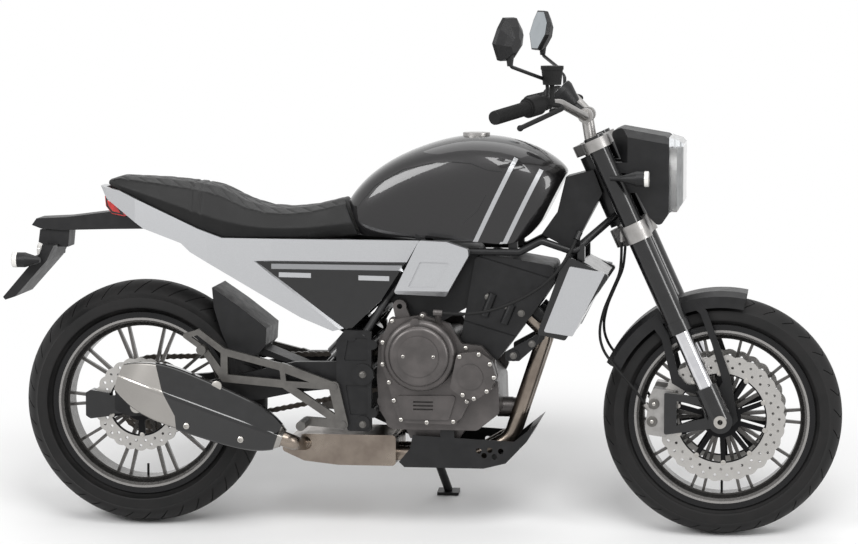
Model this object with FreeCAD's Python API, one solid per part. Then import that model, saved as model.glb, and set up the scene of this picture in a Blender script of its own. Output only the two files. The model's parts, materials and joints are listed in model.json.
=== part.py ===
import FreeCAD, Part
import math
import os

V = FreeCAD.Vector

# Cafe racer motorcycle, built upright in millimetres and then leaned on its side stand.
# X runs forward from the middle of the wheelbase, Y to the rider's left, Z up.

# Wheels and ground
WHEELBASE = 1474.0
LEAN_DEG = 10.0
FRONT_RADIUS = 300.0
FRONT_TYRE_WIDTH = 120.0
FRONT_CROWN = 64.0
FRONT_RIM_WIDTH = 96.0
REAR_RADIUS = 312.0
REAR_TYRE_WIDTH = 160.0
REAR_CROWN = 84.0
REAR_RIM_WIDTH = 124.0
SHOULDER_DEPTH = 36.0
RIM_RADIUS = 233.0
BEAD_RADIUS = 219.0
RIM_WELL_RADIUS = 196.0
RIM_LIP = 6.0
TYRE_FLATS = 92
BEAD_GAP = 0.3
SPOKE_PAIRS = 10
SPOKE_WIDTH = 10.0
SPOKE_THICK = 18.0
SPOKE_SPREAD_DEG = 4.5
HUB_RADIUS = 44.0
HUB_HALF = 58.0
AXLE_RADIUS = 11.0
AXLE_BORE = 6.5
AXLE_END = 20.0
CLEARANCE = 0.3

# Steering
RAKE_DEG = 24.5
FORK_OFFSET = 34.0
FORK_HALF_TRACK = 105.0
FORK_TOP_Z = 1004.0
UPPER_CLAMP_Z = 985.0
UPPER_CLAMP_THICK = 28.0
LOWER_CLAMP_Z = 768.0
LOWER_CLAMP_THICK = 46.0
CLAMP_RADIUS = 35.0
CLAMP_WEB = 26.0
STEM_RADIUS = 14.0
HEAD_TUBE_RADIUS = 29.0
HEAD_TUBE_GAP = 6.0
FORK_UPPER_RADIUS = 26.0
FORK_OUTER_RADIUS = 28.5
FORK_INNER_RADIUS = 20.5
FORK_COLLAR_Z = 520.0
FORK_BOTTOM_Z = 384.0
FORK_BOTTOM_RADIUS = 29.5
AXLE_LUG_RADIUS = 30.0

# Brakes
DISC_THICK = 5.0
FRONT_DISC_RADIUS = 160.0
FRONT_DISC_Y = 62.0
FRONT_DISC_BAND = 50.0
FRONT_DISC_WAVES = 30
REAR_DISC_RADIUS = 120.0
REAR_DISC_Y = 84.0
REAR_DISC_BAND = 42.0
REAR_DISC_WAVES = 24
WAVE_DEPTH = 5.0
CARRIER_ARM = 12.0
CARRIER_RIM = 16.0
DISC_HOLE_RADIUS = 3.5
WAVE_STEPS = 6
CALIPER_LENGTH = 118.0
CALIPER_HEIGHT = 62.0
CALIPER_REACH = 20.0

# Tank and seat
TANK_FRONT_X = 345.0
TANK_LENGTH = 551.0
TANK_BASE_Z = 727.0
TANK_HEIGHT = 273.0
TANK_HALF = 125.0
CAP_RADIUS = 34.0
CAP_HEIGHT = 6.0
SEAT_LENGTH = 613.0
SEAT_TUCK = 7.0
SEAT_BASE_Z = 742.0
SEAT_HEIGHT = 149.0
SEAT_HALF = 115.0
SEAT_GAP = 0.5

# Silver tail and side panels
PANEL_FRONT_X = -16.0
PANEL_TAIL = 23.0
PANEL_BASE_Z = 511.0
PANEL_HEIGHT = 354.0
PANEL_HALF = 128.0
PANEL_SKIN = 14.0
COVER_INSET = 6.0
COVER_SKIN = 8.0
INTAKE_REAR_X = -79.0
INTAKE_LENGTH = 190.0
INTAKE_BASE_Z = 604.0
INTAKE_HEIGHT = 140.0
INTAKE_FACE = 150.0
INTAKE_SKIN = 26.0
INTAKE_CORNER = 7.0
INTAKE_RECESS = 4.0
PANEL_BEVEL = 11.0

# Engine
CRANK_REAR_X = -125.0
CRANK_LENGTH = 310.0
CRANK_BASE_Z = 264.0
CRANK_HEIGHT = 246.0
CRANK_HALF = 112.0
CYLINDER_REAR_X = 83.0
CYLINDER_LENGTH = 240.0
CYLINDER_HEIGHT = 266.0
CYLINDER_HALF = 98.0
CLUTCH_X = -10.0
CLUTCH_Z = 458.0
CLUTCH_RADIUS = 91.0
CLUTCH_FACE = 188.0
CLUTCH_BADGE_RADIUS = 51.0
PUMP_X = 118.0
PUMP_Z = 407.0
PUMP_FACE = 170.0
PUMP_BADGE_RADIUS = 32.0
COVER_FLANGE = 22.0
COVER_BOSS_RADIUS = 9.0
COVER_SLOT = 50.0
SUMP_HALF = 78.0
SUMP_FINS = 6
SUMP_FIN_THICK = 4.0
FILTER_RADIUS = 24.0
FILTER_LENGTH = 70.0
MOUNT_LUG_RADIUS = 17.0
MOUNT_LUG_THICK = 18.0
HEAD_GROOVE = 4.0
POST_RADIUS = 11.0
BADGE_PROUD = 3.0
GENERATOR_X = 60.0
GENERATOR_Z = 396.0
GENERATOR_RADIUS = 78.0
GENERATOR_FACE = 168.0
SPROCKET_X = -92.0
SPROCKET_Z = 392.0
SPROCKET_RADIUS = 34.0
AIRBOX_REAR_X = -104.0
AIRBOX_LENGTH = 204.0
AIRBOX_BASE_Z = 524.0
AIRBOX_HEIGHT = 196.0
AIRBOX_HALF = 79.0

# Radiator
RADIATOR_REAR_X = 280.0
RADIATOR_LENGTH = 180.0
RADIATOR_BASE_Z = 496.0
RADIATOR_HEIGHT = 213.0
RADIATOR_HALF = 126.0
SHROUD_THICK = 16.0
RADIATOR_LUG = 18.0
SHROUD_MARGIN = 14.0

# Frame
PLATE_X = -168.0
PLATE_WIDTH = 68.0
PLATE_BASE_Z = 262.0
PLATE_TOP_Z = 516.0
PLATE_INNER = 130.0
PLATE_THICK = 16.0
PLATE_BOSS_RADIUS = 27.0
PLATE_BOSS_PROUD = 5.0
GUSSET_HALF = 46.0
DOWNTUBE_Y = 101.0
DOWNTUBE_LOW_X = 283.0
DOWNTUBE_LOW_Z = 492.0
ENGINE_BOLT_X = 220.0
ENGINE_BOLT_Z = 455.0
BRACKET_EYE = 14.0
TANK_PAD = 22.0

# Rear suspension and drive
PIVOT_X = -155.0
PIVOT_Z = 406.0
PIVOT_RADIUS = 9.0
ARM_INNER = 103.0
ARM_THICK = 22.0
CHAIN_Y = 91.0
CHAIN_WIDTH = 12.0
CHAIN_HEIGHT = 14.0
CHAIN_LINKS = 96
CHAIN_WAIST = 0.7
REAR_SPROCKET_RADIUS = 92.0
REAR_SPROCKET_THICK = 7.0
SHOCK_RADIUS = 32.0
HUGGER_GAP = 10.0
HUGGER_SKIN = 4.0

# Exhaust
PIPE_RADIUS = 19.0
PORT_HALF_SPACING = 46.0
COLLECTOR_REAR_X = -372.0
COLLECTOR_LENGTH = 292.0
COLLECTOR_BASE_Z = 167.0
COLLECTOR_HEIGHT = 78.0
COLLECTOR_HALF = 92.0
MUFFLER_FRONT_X = -352.0
MUFFLER_FRONT_Y = -186.0
MUFFLER_FRONT_Z = 246.0
MUFFLER_REAR_X = -762.0
MUFFLER_REAR_Y = -210.0
MUFFLER_REAR_Z = 398.0
MUFFLER_RADIUS = 72.0
MUFFLER_EDGE = 12.0
SHIELD_THICK = 3.0
SHIELD_TOP_X = -672.0
SHIELD_TOP_Z = 448.0
SHIELD_LOW_X = -613.0
SHIELD_LOW_Z = 308.0
VENT_LENGTH = 52.0
VENT_HEIGHT = 22.0
PAN_REAR_X = -70.0
PAN_LENGTH = 351.0
PAN_BASE_Z = 167.0
PAN_HEIGHT = 118.0
PAN_HALF = 106.0
PAN_SKIN = 4.0

# Controls, lamps and mirrors
BAR_RADIUS = 11.0
BAR_CENTRE_X = 392.0
BAR_CENTRE_Z = 1052.0
BAR_END_X = 204.0
BAR_END_Z = 1064.0
BAR_HALF = 410.0
GRIP_RADIUS = 16.5
GRIP_LENGTH = 128.0
MIRROR_TOP_Z = 1306.0
MIRROR_HEIGHT = 104.0
MIRROR_WIDTH = 104.0
MIRROR_DEPTH = 34.0
MIRROR_LEAN_DEG = 11.0
MIRROR_TOE_DEG = -30.0
MIRROR_X = 221.0
MIRROR_Y = 398.0
LAMP_REAR_X = 456.0
LAMP_LENGTH = 147.0
LAMP_BASE_Z = 778.0
LAMP_HEIGHT = 246.0
LAMP_HALF = 92.0
LENS_DEPTH = 35.0
LENS_HALF = 84.0
EAR_LENGTH = 66.0
EAR_HEIGHT = 26.0
EAR_WIDTH = 34.0

# Side stand
STAND_X = -40.0
STAND_Y = 162.0
STAND_Z = 238.0
STAND_REACH_X = 52.0
STAND_REACH_Y = 90.0
STAND_RADIUS = 11.0
STAND_FOOT = 56.0
STAND_FOOT_THICK = 8.0

# Front fender
FENDER_GAP = 14.0
FENDER_SKIN = 4.0
FENDER_HALF = 70.0
FENDER_FRONT_DEG = 79.0
FENDER_SWEEP_DEG = 76.0

# Cables
HOSE_RADIUS = 3.5
CORD_BEND = 1000.0
CABLE_RADIUS = 4.0

# Bar, levers and reservoir
BAR_RISE = 34.0
RISER_RADIUS = 15.0
RISER_HALF_SPACING = 40.0
LEVER_REACH = 62.0
LEVER_RADIUS = 6.0
RESERVOIR_RADIUS = 28.0
RESERVOIR_HEIGHT = 46.0
RESERVOIR_STALK = 30.0
MIRROR_STEM_RADIUS = 4.5

# Indicators, instrument and tail lamp
INDICATOR_LENGTH = 70.0
INDICATOR_RADIUS = 19.0
INDICATOR_Z = 903.0
INDICATOR_OUT = 152.0
INDICATOR_STALK = 7.0
DIAL_RADIUS = 34.0
DIAL_DEPTH = 52.0
DIAL_X = 322.0
DIAL_Z = 1114.0
DIAL_TILT_DEG = 45.0
TAIL_LAMP_HALF = 46.0

# Frame tubes
GUSSET_REAR_X = 275.0
GUSSET_LENGTH = 160.0
GUSSET_BASE_Z = 716.0
GUSSET_HEIGHT = 203.0
RAIL_Z = 714.0
RAIL_Y = 104.0
BRACE_RADIUS = 9.0
SPAR_RADIUS = 13.0
SEAT_RAIL_RADIUS = 10.0
CROSS_RADIUS = 12.0
SHOCK_TOP_X = -118.0
SHOCK_TOP_Z = 560.0

# Stand head, swingarm, hugger and rear caliper
STAND_HEAD_RADIUS = 17.0
STAND_BOLT_RADIUS = 5.0
LUG_THICK = 7.0
ARM_LENGTH_BACK = 58.0
SHOCK_TAIL_X = -268.0
HUGGER_HALF = 88.0
HUGGER_TONGUE_HALF = 50.0
REAR_CALIPER_LENGTH = 74.0

# Belly pan holes and footrests
HOLE_RADIUS = 7.0
HANGER_REAR_X = -608.0
HANGER_LENGTH = 410.0
HANGER_BASE_Z = 270.0
HANGER_HEIGHT = 245.0
HANGER_Y = 147.0
HANGER_THICK = 14.0
HANGER_BAR = 11.0
PEG_RADIUS = 12.0
PEG_LENGTH = 88.0

# Rear fender arm and plate carrier
FENDER_ARM_TAIL_X = -1033.0
FENDER_ARM_LENGTH = 430.0
FENDER_ARM_BASE_Z = 728.0
FENDER_ARM_HEIGHT = 46.0
FENDER_ARM_HALF = 42.0
PLATE_TAIL_X = -1092.0
PLATE_LOW_Z = 575.0
CARRIER_LENGTH = 122.0
CARRIER_HEIGHT = 140.0
CARRIER_HALF = 90.0
REAR_INDICATOR_Y = 132.0

UNIT_X = V(1, 0, 0)
UNIT_Y = V(0, 1, 0)
UNIT_Z = V(0, 0, 1)
ORIGIN = V(0, 0, 0)

lean = math.radians(LEAN_DEG)
rake = math.radians(RAKE_DEG)
front_x = WHEELBASE / 2
rear_x = -WHEELBASE / 2
rear_z = REAR_RADIUS
# The rounder rear crown sinks a little more when leaned, so the front axle sits that much higher.
front_z = FRONT_RADIUS + (REAR_CROWN - FRONT_CROWN) * (1 - math.cos(lean))
ground_drop = REAR_CROWN * (1 - math.cos(lean))
# The tank ends at the steering head, the seat butts against the tank, and the panels wrap the seat's tail.
tank_rear_x = TANK_FRONT_X - TANK_LENGTH
seat_rear_x = tank_rear_x - SEAT_TUCK - SEAT_LENGTH
panel_rear_x = seat_rear_x - PANEL_TAIL
panel_length = PANEL_FRONT_X - panel_rear_x
rake_up = V(-math.sin(rake), 0, math.cos(rake))
rake_back = V(-math.cos(rake), 0, -math.sin(rake))


def fork_point(z, y=0.0):
    """A point on the line of the fork legs at height z."""
    return V(front_x - (z - front_z) * math.tan(rake), y, z)


def stem_point(z):
    """A point on the steering axis at height z."""
    return fork_point(z) + UNIT_X * (-FORK_OFFSET / math.cos(rake))


def stem_level(z, lift):
    """The point of the steering axis level with the fork point at z, lifted along the axis."""
    base = stem_point(z)
    return base + rake_up * ((fork_point(z) - base).dot(rake_up) + lift)


def place(start_x, length, base_z, height, shares):
    """Outline points in the side view from shares of a piece's length and height."""
    return [(start_x + length * u, base_z + height * w) for u, w in shares]


def fuse(shapes):
    whole = shapes[0]
    if len(shapes) > 1:
        whole = shapes[0].fuse(shapes[1:])
    return whole.removeSplitter()


def both_sides(shape):
    """The shape and its mirror image on the other side of the machine, as one compound."""
    return Part.makeCompound([shape, shape.mirror(ORIGIN, UNIT_Y)])


def rounded_wire(points, corner):
    """A closed wire through 3D points with each corner rounded as far as its runs allow."""
    count = len(points)
    edges = []
    if corner <= 0:
        return Part.makePolygon(points + [points[0]])
    starts = []
    ends = []
    mids = []
    for i in range(count):
        here = points[i]
        before = points[i - 1] - here
        after = points[(i + 1) % count] - here
        half_turn = before.getAngle(after) / 2
        cut = min(corner / math.tan(half_turn), 0.45 * before.Length, 0.45 * after.Length)
        radius = cut * math.tan(half_turn)
        before.normalize()
        after.normalize()
        inward = before + after
        starts.append(here + before * cut)
        ends.append(here + after * cut)
        inward.normalize()
        mids.append(here + inward * (radius / math.sin(half_turn) - radius))
    for i in range(count):
        edges.append(Part.Arc(starts[i], mids[i], ends[i]).toShape())
        edges.append(Part.makeLine(ends[i], starts[(i + 1) % count]))
    return Part.Wire(edges)


def slab(points, y_near, y_far, corner=0.0):
    """A side-view outline run across the machine from y_near to y_far."""
    spots = [V(x, y_near, z) for x, z in points]
    face = Part.Face(rounded_wire(spots, corner))
    return face.extrude(V(0, y_far - y_near, 0))


def plan_slab(points, z_low, z_high, corner=0.0):
    spots = [V(x, y, z_low) for x, y in points]
    face = Part.Face(rounded_wire(spots, corner))
    return face.extrude(V(0, 0, z_high - z_low))


def rod(start, end, radius):
    return Part.makeCylinder(radius, (end - start).Length, start, end - start)


def ferrule(before, end, length, radius):
    """A plain barrel that carries on a cord's last run from its end."""
    lead = end - before
    lead.normalize()
    return rod(end, end + lead * length, radius)


def cross_rod(x, z, y_near, y_far, radius):
    return rod(V(x, y_near, z), V(x, y_far, z), radius)


def tube(points, radius, bend):
    """A round bar along straight runs joined by arcs of the given bend radius."""
    edges = []
    start = points[0]
    for i in range(1, len(points) - 1):
        here = points[i]
        before = points[i - 1] - here
        after = points[i + 1] - here
        half_turn = before.getAngle(after) / 2
        cut = min(bend / math.tan(half_turn), 0.45 * before.Length, 0.45 * after.Length)
        arc_radius = cut * math.tan(half_turn)
        before.normalize()
        after.normalize()
        inward = before + after
        inward.normalize()
        arc_start = here + before * cut
        arc_end = here + after * cut
        middle = here + inward * (arc_radius / math.sin(half_turn) - arc_radius)
        edges.append(Part.makeLine(start, arc_start))
        edges.append(Part.Arc(arc_start, middle, arc_end).toShape())
        start = arc_end
    edges.append(Part.makeLine(start, points[-1]))
    path = Part.Wire(edges)
    circle = Part.Wire([Part.makeCircle(radius, points[0], points[1] - points[0])])
    return path.makePipeShell([circle], True, False)


def arch_loft(rings):
    """A solid through rings with a flat base and a smooth arch over it."""
    wires = []
    for points in rings:
        curve = Part.BSplineCurve()
        curve.interpolate(points)
        wires.append(Part.Wire([curve.toShape(), Part.makeLine(points[-1], points[0])]))
    return Part.makeLoft(wires, True, False)


def polygon_loft(rings):
    """A solid through closed rings of points, with flat faces between them."""
    wires = [Part.makePolygon(points + [points[0]]) for points in rings]
    return Part.makeLoft(wires, True, True)


def upright_ring(base, top, widths):
    """A ring from its base point to its top point, with half widths at shares of the height."""
    left = []
    for share, half in widths:
        left.append(base + (top - base) * share + UNIT_Y * half)
    right = [V(p.x, -p.y, p.z) for p in reversed(left)]
    return [base] + left + [top] + right


def spin(profile, x, z):
    """A solid of revolution about a wheel axis from (radius, y) points or edges."""
    face = Part.Face(profile)
    face.translate(V(x, 0, z))
    return face.revolve(V(x, 0, z), UNIT_Y, 360)


def profile_line(points):
    """A closed polygon of (radius, y) points, drawn above the axis."""
    spots = [V(0, y, r) for r, y in points]
    return Part.makePolygon(spots + [spots[0]])


def tyre(x, z, radius, width, rim_width, crown):
    """A tyre of many narrow flats round its axle, round across its crown, with beads between the lips.

    The crown has a ridge where it meets the ground as the machine leans.
    """
    half = width / 2
    bead_y = rim_width / 2 - RIM_LIP - BEAD_GAP
    lip_z = RIM_RADIUS + BEAD_GAP
    turn = math.asin(half * 0.85 / crown)
    crown_angles = (lean, (lean + turn) / 2, turn)
    right = [(crown * math.sin(angle), radius - crown * (1 - math.cos(angle))) for angle in crown_angles]
    right += [(half, (right[-1][1] + lip_z) / 2), (bead_y, lip_z), (bead_y, BEAD_RADIUS + BEAD_GAP)]
    profile = right + [(-y, r) for y, r in reversed(right)]
    rings = []
    for i in range(TYRE_FLATS + 1):
        angle = 2 * math.pi * (i % TYRE_FLATS) / TYRE_FLATS
        rings.append([V(x + r * math.cos(angle), y, z + r * math.sin(angle)) for y, r in profile])
    faces = []
    for ring, next_ring in zip(rings, rings[1:]):
        for j in range(len(profile)):
            k = (j + 1) % len(profile)
            faces.append(Part.Face(Part.makePolygon([ring[j], ring[k], next_ring[k], next_ring[j],
                                                     ring[j]])))
    shell = Part.makeCompound(faces)
    shell.sewShape()
    return Part.makeSolid(shell.Shells[0])


def rim(x, z, width, hub_half):
    """A cast wheel: rim with two lips, hub, and pairs of slim spokes that spread to the rim."""
    half = width / 2
    section = profile_line([
        (BEAD_RADIUS, -half + RIM_LIP), (BEAD_RADIUS, half - RIM_LIP), (RIM_RADIUS, half - RIM_LIP),
        (RIM_RADIUS, half), (BEAD_RADIUS - RIM_LIP, half), (RIM_WELL_RADIUS, half * 0.55),
        (RIM_WELL_RADIUS, -half * 0.55), (BEAD_RADIUS - RIM_LIP, -half), (RIM_RADIUS, -half),
        (RIM_RADIUS, -half + RIM_LIP)])
    ring = spin(section, x, z)
    hub = cross_rod(x, z, -hub_half, hub_half, HUB_RADIUS)
    pieces = [ring, hub]
    step = 360.0 / SPOKE_PAIRS
    inner_r = HUB_RADIUS - SPOKE_WIDTH / 2
    outer_r = RIM_WELL_RADIUS + RIM_LIP / 2
    for i in range(SPOKE_PAIRS):
        for side in (-1, 1):
            root_angle = math.radians(i * step + side * SPOKE_SPREAD_DEG * 0.6)
            tip_angle = math.radians(i * step + side * SPOKE_SPREAD_DEG)
            root = V(x + inner_r * math.cos(root_angle), side * SPOKE_WIDTH * 1.2,
                     z + inner_r * math.sin(root_angle))
            tip = V(x + outer_r * math.cos(tip_angle), side * SPOKE_WIDTH * 0.6,
                    z + outer_r * math.sin(tip_angle))
            pieces.append(spoke(root, tip))
    return fuse(pieces).cut(cross_rod(x, z, -2 * hub_half, 2 * hub_half, AXLE_RADIUS + CLEARANCE))


def spoke(root, tip):
    """One slim spoke, deeper across the wheel at the hub than at the rim."""
    along = tip - root
    along.normalize()
    side = along.cross(UNIT_Y)
    side.normalize()
    rings = []
    for spot, share in ((root, 1.0), (tip, 0.7)):
        w = side * (SPOKE_WIDTH / 2 * share)
        t = UNIT_Y * (SPOKE_THICK / 2 * share)
        rings.append([spot + w + t, spot - w + t, spot - w - t, spot + w - t])
    return polygon_loft(rings)


def wave_disc(x, z, y, radius, band, waves, bore, arms, arm_width):
    """A petal-edged, drilled brake disc with an open carrier, its faces square to the axle."""
    low = y - DISC_THICK / 2
    high = y + DISC_THICK / 2
    outline = []
    steps = waves * WAVE_STEPS
    for i in range(steps):
        angle = 2 * math.pi * i / steps
        reach = radius - WAVE_DEPTH * (1 - abs(math.cos(waves * angle / 2)))
        outline.append((x + reach * math.cos(angle), z + reach * math.sin(angle)))
    disc = slab(outline, low, high).cut(cross_rod(x, z, low - DISC_THICK, high + DISC_THICK, radius - band))
    holes = []
    for i in range(2 * waves):
        angle = math.pi * i / waves
        reach = radius - band * (0.32 if i % 2 == 0 else 0.62)
        holes.append(cross_rod(x + reach * math.cos(angle), z + reach * math.sin(angle), low - DISC_THICK,
                               high + DISC_THICK, DISC_HOLE_RADIUS))
    disc = disc.cut(Part.makeCompound(holes))
    carrier = [disc, cross_rod(x, z, low, high, bore + CARRIER_RIM)]
    for i in range(arms):
        arm = Part.makeBox(radius - band + arm_width / 2, DISC_THICK, arm_width,
                           V(x, low, z - arm_width / 2))
        arm.rotate(V(x, 0, z), UNIT_Y, 360.0 * i / arms + 15)
        carrier.append(arm)
    return fuse(carrier).cut(cross_rod(x, z, low - DISC_THICK, high + DISC_THICK, bore))


parts = {}

# Front wheel
parts["front_tyre"] = tyre(front_x, front_z, FRONT_RADIUS, FRONT_TYRE_WIDTH, FRONT_RIM_WIDTH, FRONT_CROWN)
parts["front_rim"] = rim(front_x, front_z, FRONT_RIM_WIDTH, HUB_HALF)
front_disc = wave_disc(front_x, front_z, -FRONT_DISC_Y, FRONT_DISC_RADIUS, FRONT_DISC_BAND,
                       FRONT_DISC_WAVES, HUB_RADIUS * 0.75, 10, CARRIER_ARM)
front_hub_boss = cross_rod(front_x, front_z, -FRONT_DISC_Y + DISC_THICK / 2, -HUB_HALF - CLEARANCE,
                           HUB_RADIUS * 0.75 + CARRIER_RIM)
front_hub_boss = front_hub_boss.cut(cross_rod(front_x, front_z, -FRONT_DISC_Y, 0, HUB_RADIUS * 0.75))
parts["front_discs"] = both_sides(fuse([front_disc, front_hub_boss]))

# Rear wheel
parts["rear_tyre"] = tyre(rear_x, rear_z, REAR_RADIUS, REAR_TYRE_WIDTH, REAR_RIM_WIDTH, REAR_CROWN)
rear_hub_half = REAR_DISC_Y - DISC_THICK / 2 - CLEARANCE
parts["rear_rim"] = rim(rear_x, rear_z, REAR_RIM_WIDTH, rear_hub_half)
parts["rear_disc"] = wave_disc(rear_x, rear_z, -REAR_DISC_Y, REAR_DISC_RADIUS, REAR_DISC_BAND,
                               REAR_DISC_WAVES, HUB_RADIUS * 0.6, 5, CARRIER_RIM)
sprocket_low = CHAIN_Y - REAR_SPROCKET_THICK / 2
sprocket = cross_rod(rear_x, rear_z, sprocket_low, sprocket_low + REAR_SPROCKET_THICK,
                     REAR_SPROCKET_RADIUS)
sprocket = fuse([sprocket, cross_rod(rear_x, rear_z, rear_hub_half + CLEARANCE, sprocket_low,
                                     HUB_RADIUS)])
sprocket = sprocket.cut(cross_rod(rear_x, rear_z, 0, 2 * CHAIN_Y, AXLE_RADIUS + CLEARANCE))
for i in range(5):
    window_angle = math.radians(i * 72)
    reach = (HUB_RADIUS + REAR_SPROCKET_RADIUS) / 2
    sprocket = sprocket.cut(cross_rod(rear_x + reach * math.cos(window_angle),
                                      rear_z + reach * math.sin(window_angle), 0, 2 * CHAIN_Y,
                                      reach * 0.24))
parts["rear_sprocket"] = sprocket


# Front brake hose route, from a clip on the lower clamp down to the right caliper
hose_route = [V(486, -74, 742), V(485, -62, 700), V(481, -55, 660), V(461, -57, 614), V(441, -60, 567),
              V(432, -65, 524), V(433, -72, 495), V(443, -79, 466), V(471, -84, 428), V(509, -86, 387),
              V(548, -84, 336)]


# Front end
def fork_rod(z_low, z_high, y, radius):
    return rod(fork_point(z_low, y), fork_point(z_high, y), radius)


def fork_pair(z_low, z_high, radius):
    return both_sides(fork_rod(z_low, z_high, -FORK_HALF_TRACK, radius))


parts["fork_outer_tubes"] = both_sides(fuse([
    fork_rod(FORK_COLLAR_Z, LOWER_CLAMP_Z, -FORK_HALF_TRACK, FORK_OUTER_RADIUS),
    fork_rod(LOWER_CLAMP_Z, FORK_TOP_Z, -FORK_HALF_TRACK, FORK_UPPER_RADIUS),
    fork_rod(FORK_COLLAR_Z, FORK_COLLAR_Z + FORK_OUTER_RADIUS, -FORK_HALF_TRACK,
             FORK_OUTER_RADIUS + FORK_OUTER_RADIUS / 14)]))
parts["fork_inner_tubes"] = fork_pair(FORK_BOTTOM_Z, FORK_COLLAR_Z, FORK_INNER_RADIUS)
axle_lug = cross_rod(front_x, front_z, -FORK_HALF_TRACK - FORK_BOTTOM_RADIUS * 0.8,
                     -FORK_HALF_TRACK + FORK_BOTTOM_RADIUS * 0.6, AXLE_LUG_RADIUS)
fork_bottom = fuse([fork_rod(front_z, FORK_BOTTOM_Z, -FORK_HALF_TRACK, FORK_BOTTOM_RADIUS), axle_lug])
fork_bottom = fork_bottom.cut(cross_rod(front_x, front_z, -2 * FORK_HALF_TRACK, 0, AXLE_RADIUS + CLEARANCE))
parts["fork_bottoms"] = both_sides(fork_bottom)

front_axle_half = FORK_HALF_TRACK + FORK_BOTTOM_RADIUS + CLEARANCE
front_axle = fuse([
    cross_rod(front_x, front_z, -front_axle_half, front_axle_half, AXLE_RADIUS),
    cross_rod(front_x, front_z, -front_axle_half - AXLE_END / 4, -front_axle_half,
              AXLE_END * 0.8),
    cross_rod(front_x, front_z, front_axle_half, front_axle_half + AXLE_END / 4,
              AXLE_END * 0.8)])
front_axle = front_axle.cut(cross_rod(front_x, front_z, -2 * front_axle_half, 2 * front_axle_half,
                                      AXLE_BORE))
parts["front_axle"] = front_axle


def clamp(z, thick, radius, bore):
    """A triple clamp: two fork eyes and a web across the steering stem, square to the fork."""
    centre = fork_point(z) - rake_up * (thick / 2)
    stem = stem_point(z)
    stem = stem + rake_up * ((centre - stem).dot(rake_up))
    eyes = []
    for y in (-FORK_HALF_TRACK, FORK_HALF_TRACK):
        eyes.append(Part.makeCylinder(radius, thick, centre + UNIT_Y * y, rake_up))
    eyes.append(Part.makeCylinder(radius, thick, stem, rake_up))
    across = UNIT_Y * FORK_HALF_TRACK
    fore = rake_back * -CLAMP_WEB
    web = [centre - across + fore, centre + across + fore, centre + across - fore * 0.9,
           stem + across * 0.3 - fore, stem - across * 0.3 - fore, centre - across - fore * 0.9]
    eyes.append(Part.Face(Part.makePolygon(web + [web[0]])).extrude(rake_up * thick))
    body = fuse(eyes)
    for y in (-FORK_HALF_TRACK, FORK_HALF_TRACK):
        spot = centre + UNIT_Y * y - rake_up * thick
        body = body.cut(Part.makeCylinder(bore + CLEARANCE, 3 * thick, spot, rake_up))
    return body


stem_low = stem_point(LOWER_CLAMP_Z)
stem_high = stem_point(UPPER_CLAMP_Z)
hose_clip = ferrule(hose_route[1], hose_route[0], LOWER_CLAMP_THICK * 0.7, 2 * HOSE_RADIUS)
parts["triple_clamps"] = fuse([
    clamp(UPPER_CLAMP_Z, UPPER_CLAMP_THICK, CLAMP_RADIUS, FORK_UPPER_RADIUS),
    clamp(LOWER_CLAMP_Z, LOWER_CLAMP_THICK, CLAMP_RADIUS, FORK_OUTER_RADIUS),
    rod(stem_low, stem_high, STEM_RADIUS),
    hose_clip, hose_clip.mirror(ORIGIN, UNIT_Y)])

# Calipers hang behind the fork bottoms on a forged triangle.
caliper_x = front_x - FRONT_DISC_RADIUS + CALIPER_HEIGHT * 0.12
caliper_z = front_z + CALIPER_LENGTH * 0.12


def caliper(x, z, y, turn_deg):
    """A caliper body that straddles its disc, with the disc's slot left open."""
    outline = place(x - CALIPER_HEIGHT / 2, CALIPER_HEIGHT, z - CALIPER_LENGTH / 2, CALIPER_LENGTH,
                    [(0.1, 0.0), (0.9, 0.0), (1.0, 0.2), (0.88, 0.5), (1.0, 0.8), (0.9, 1.0), (0.1, 1.0),
                     (0.0, 0.8), (0.0, 0.2)])
    body = slab(outline, y - CALIPER_REACH - DISC_THICK, y + CALIPER_REACH, CALIPER_HEIGHT / 12)
    body.rotate(V(x, y, z), UNIT_Y, turn_deg)
    return body


front_caliper = caliper(caliper_x, caliper_z, -FRONT_DISC_Y - CALIPER_REACH * 0.1, 8)
disc_slot_gap = 5.0 * CLEARANCE
front_slot = cross_rod(front_x, front_z, -FRONT_DISC_Y - DISC_THICK / 2 - disc_slot_gap,
                       -FRONT_DISC_Y + DISC_THICK / 2 + disc_slot_gap, FRONT_DISC_RADIUS + DISC_THICK)
front_caliper = front_caliper.cut(front_slot)
front_caliper = fuse([front_caliper, ferrule(hose_route[-2], hose_route[-1], CALIPER_LENGTH / 4,
                                             2 * HOSE_RADIUS)])
triangle = [(front_x - AXLE_LUG_RADIUS * 0.3, front_z - AXLE_LUG_RADIUS * 0.6),
            (caliper_x + CALIPER_HEIGHT * 0.2, caliper_z - CALIPER_LENGTH * 0.44),
            (caliper_x + CALIPER_HEIGHT * 0.2, caliper_z + CALIPER_LENGTH * 0.46),
            (front_x - AXLE_LUG_RADIUS * 1.4, front_z + AXLE_LUG_RADIUS * 1.9)]
bracket_near = -FORK_HALF_TRACK + FORK_BOTTOM_RADIUS * 0.1
bracket_far = -FRONT_DISC_Y - CALIPER_REACH - DISC_THICK
bracket = slab(triangle, bracket_near - DISC_THICK * 2, bracket_near, DISC_THICK)
hollow = [(front_x - AXLE_LUG_RADIUS * 1.3, front_z + AXLE_LUG_RADIUS * 0.2),
          (caliper_x + CALIPER_HEIGHT * 0.7, caliper_z - CALIPER_LENGTH * 0.24),
          (caliper_x + CALIPER_HEIGHT * 0.7, caliper_z + CALIPER_LENGTH * 0.28),
          (front_x - AXLE_LUG_RADIUS * 1.5, front_z + AXLE_LUG_RADIUS * 1.2)]
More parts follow.
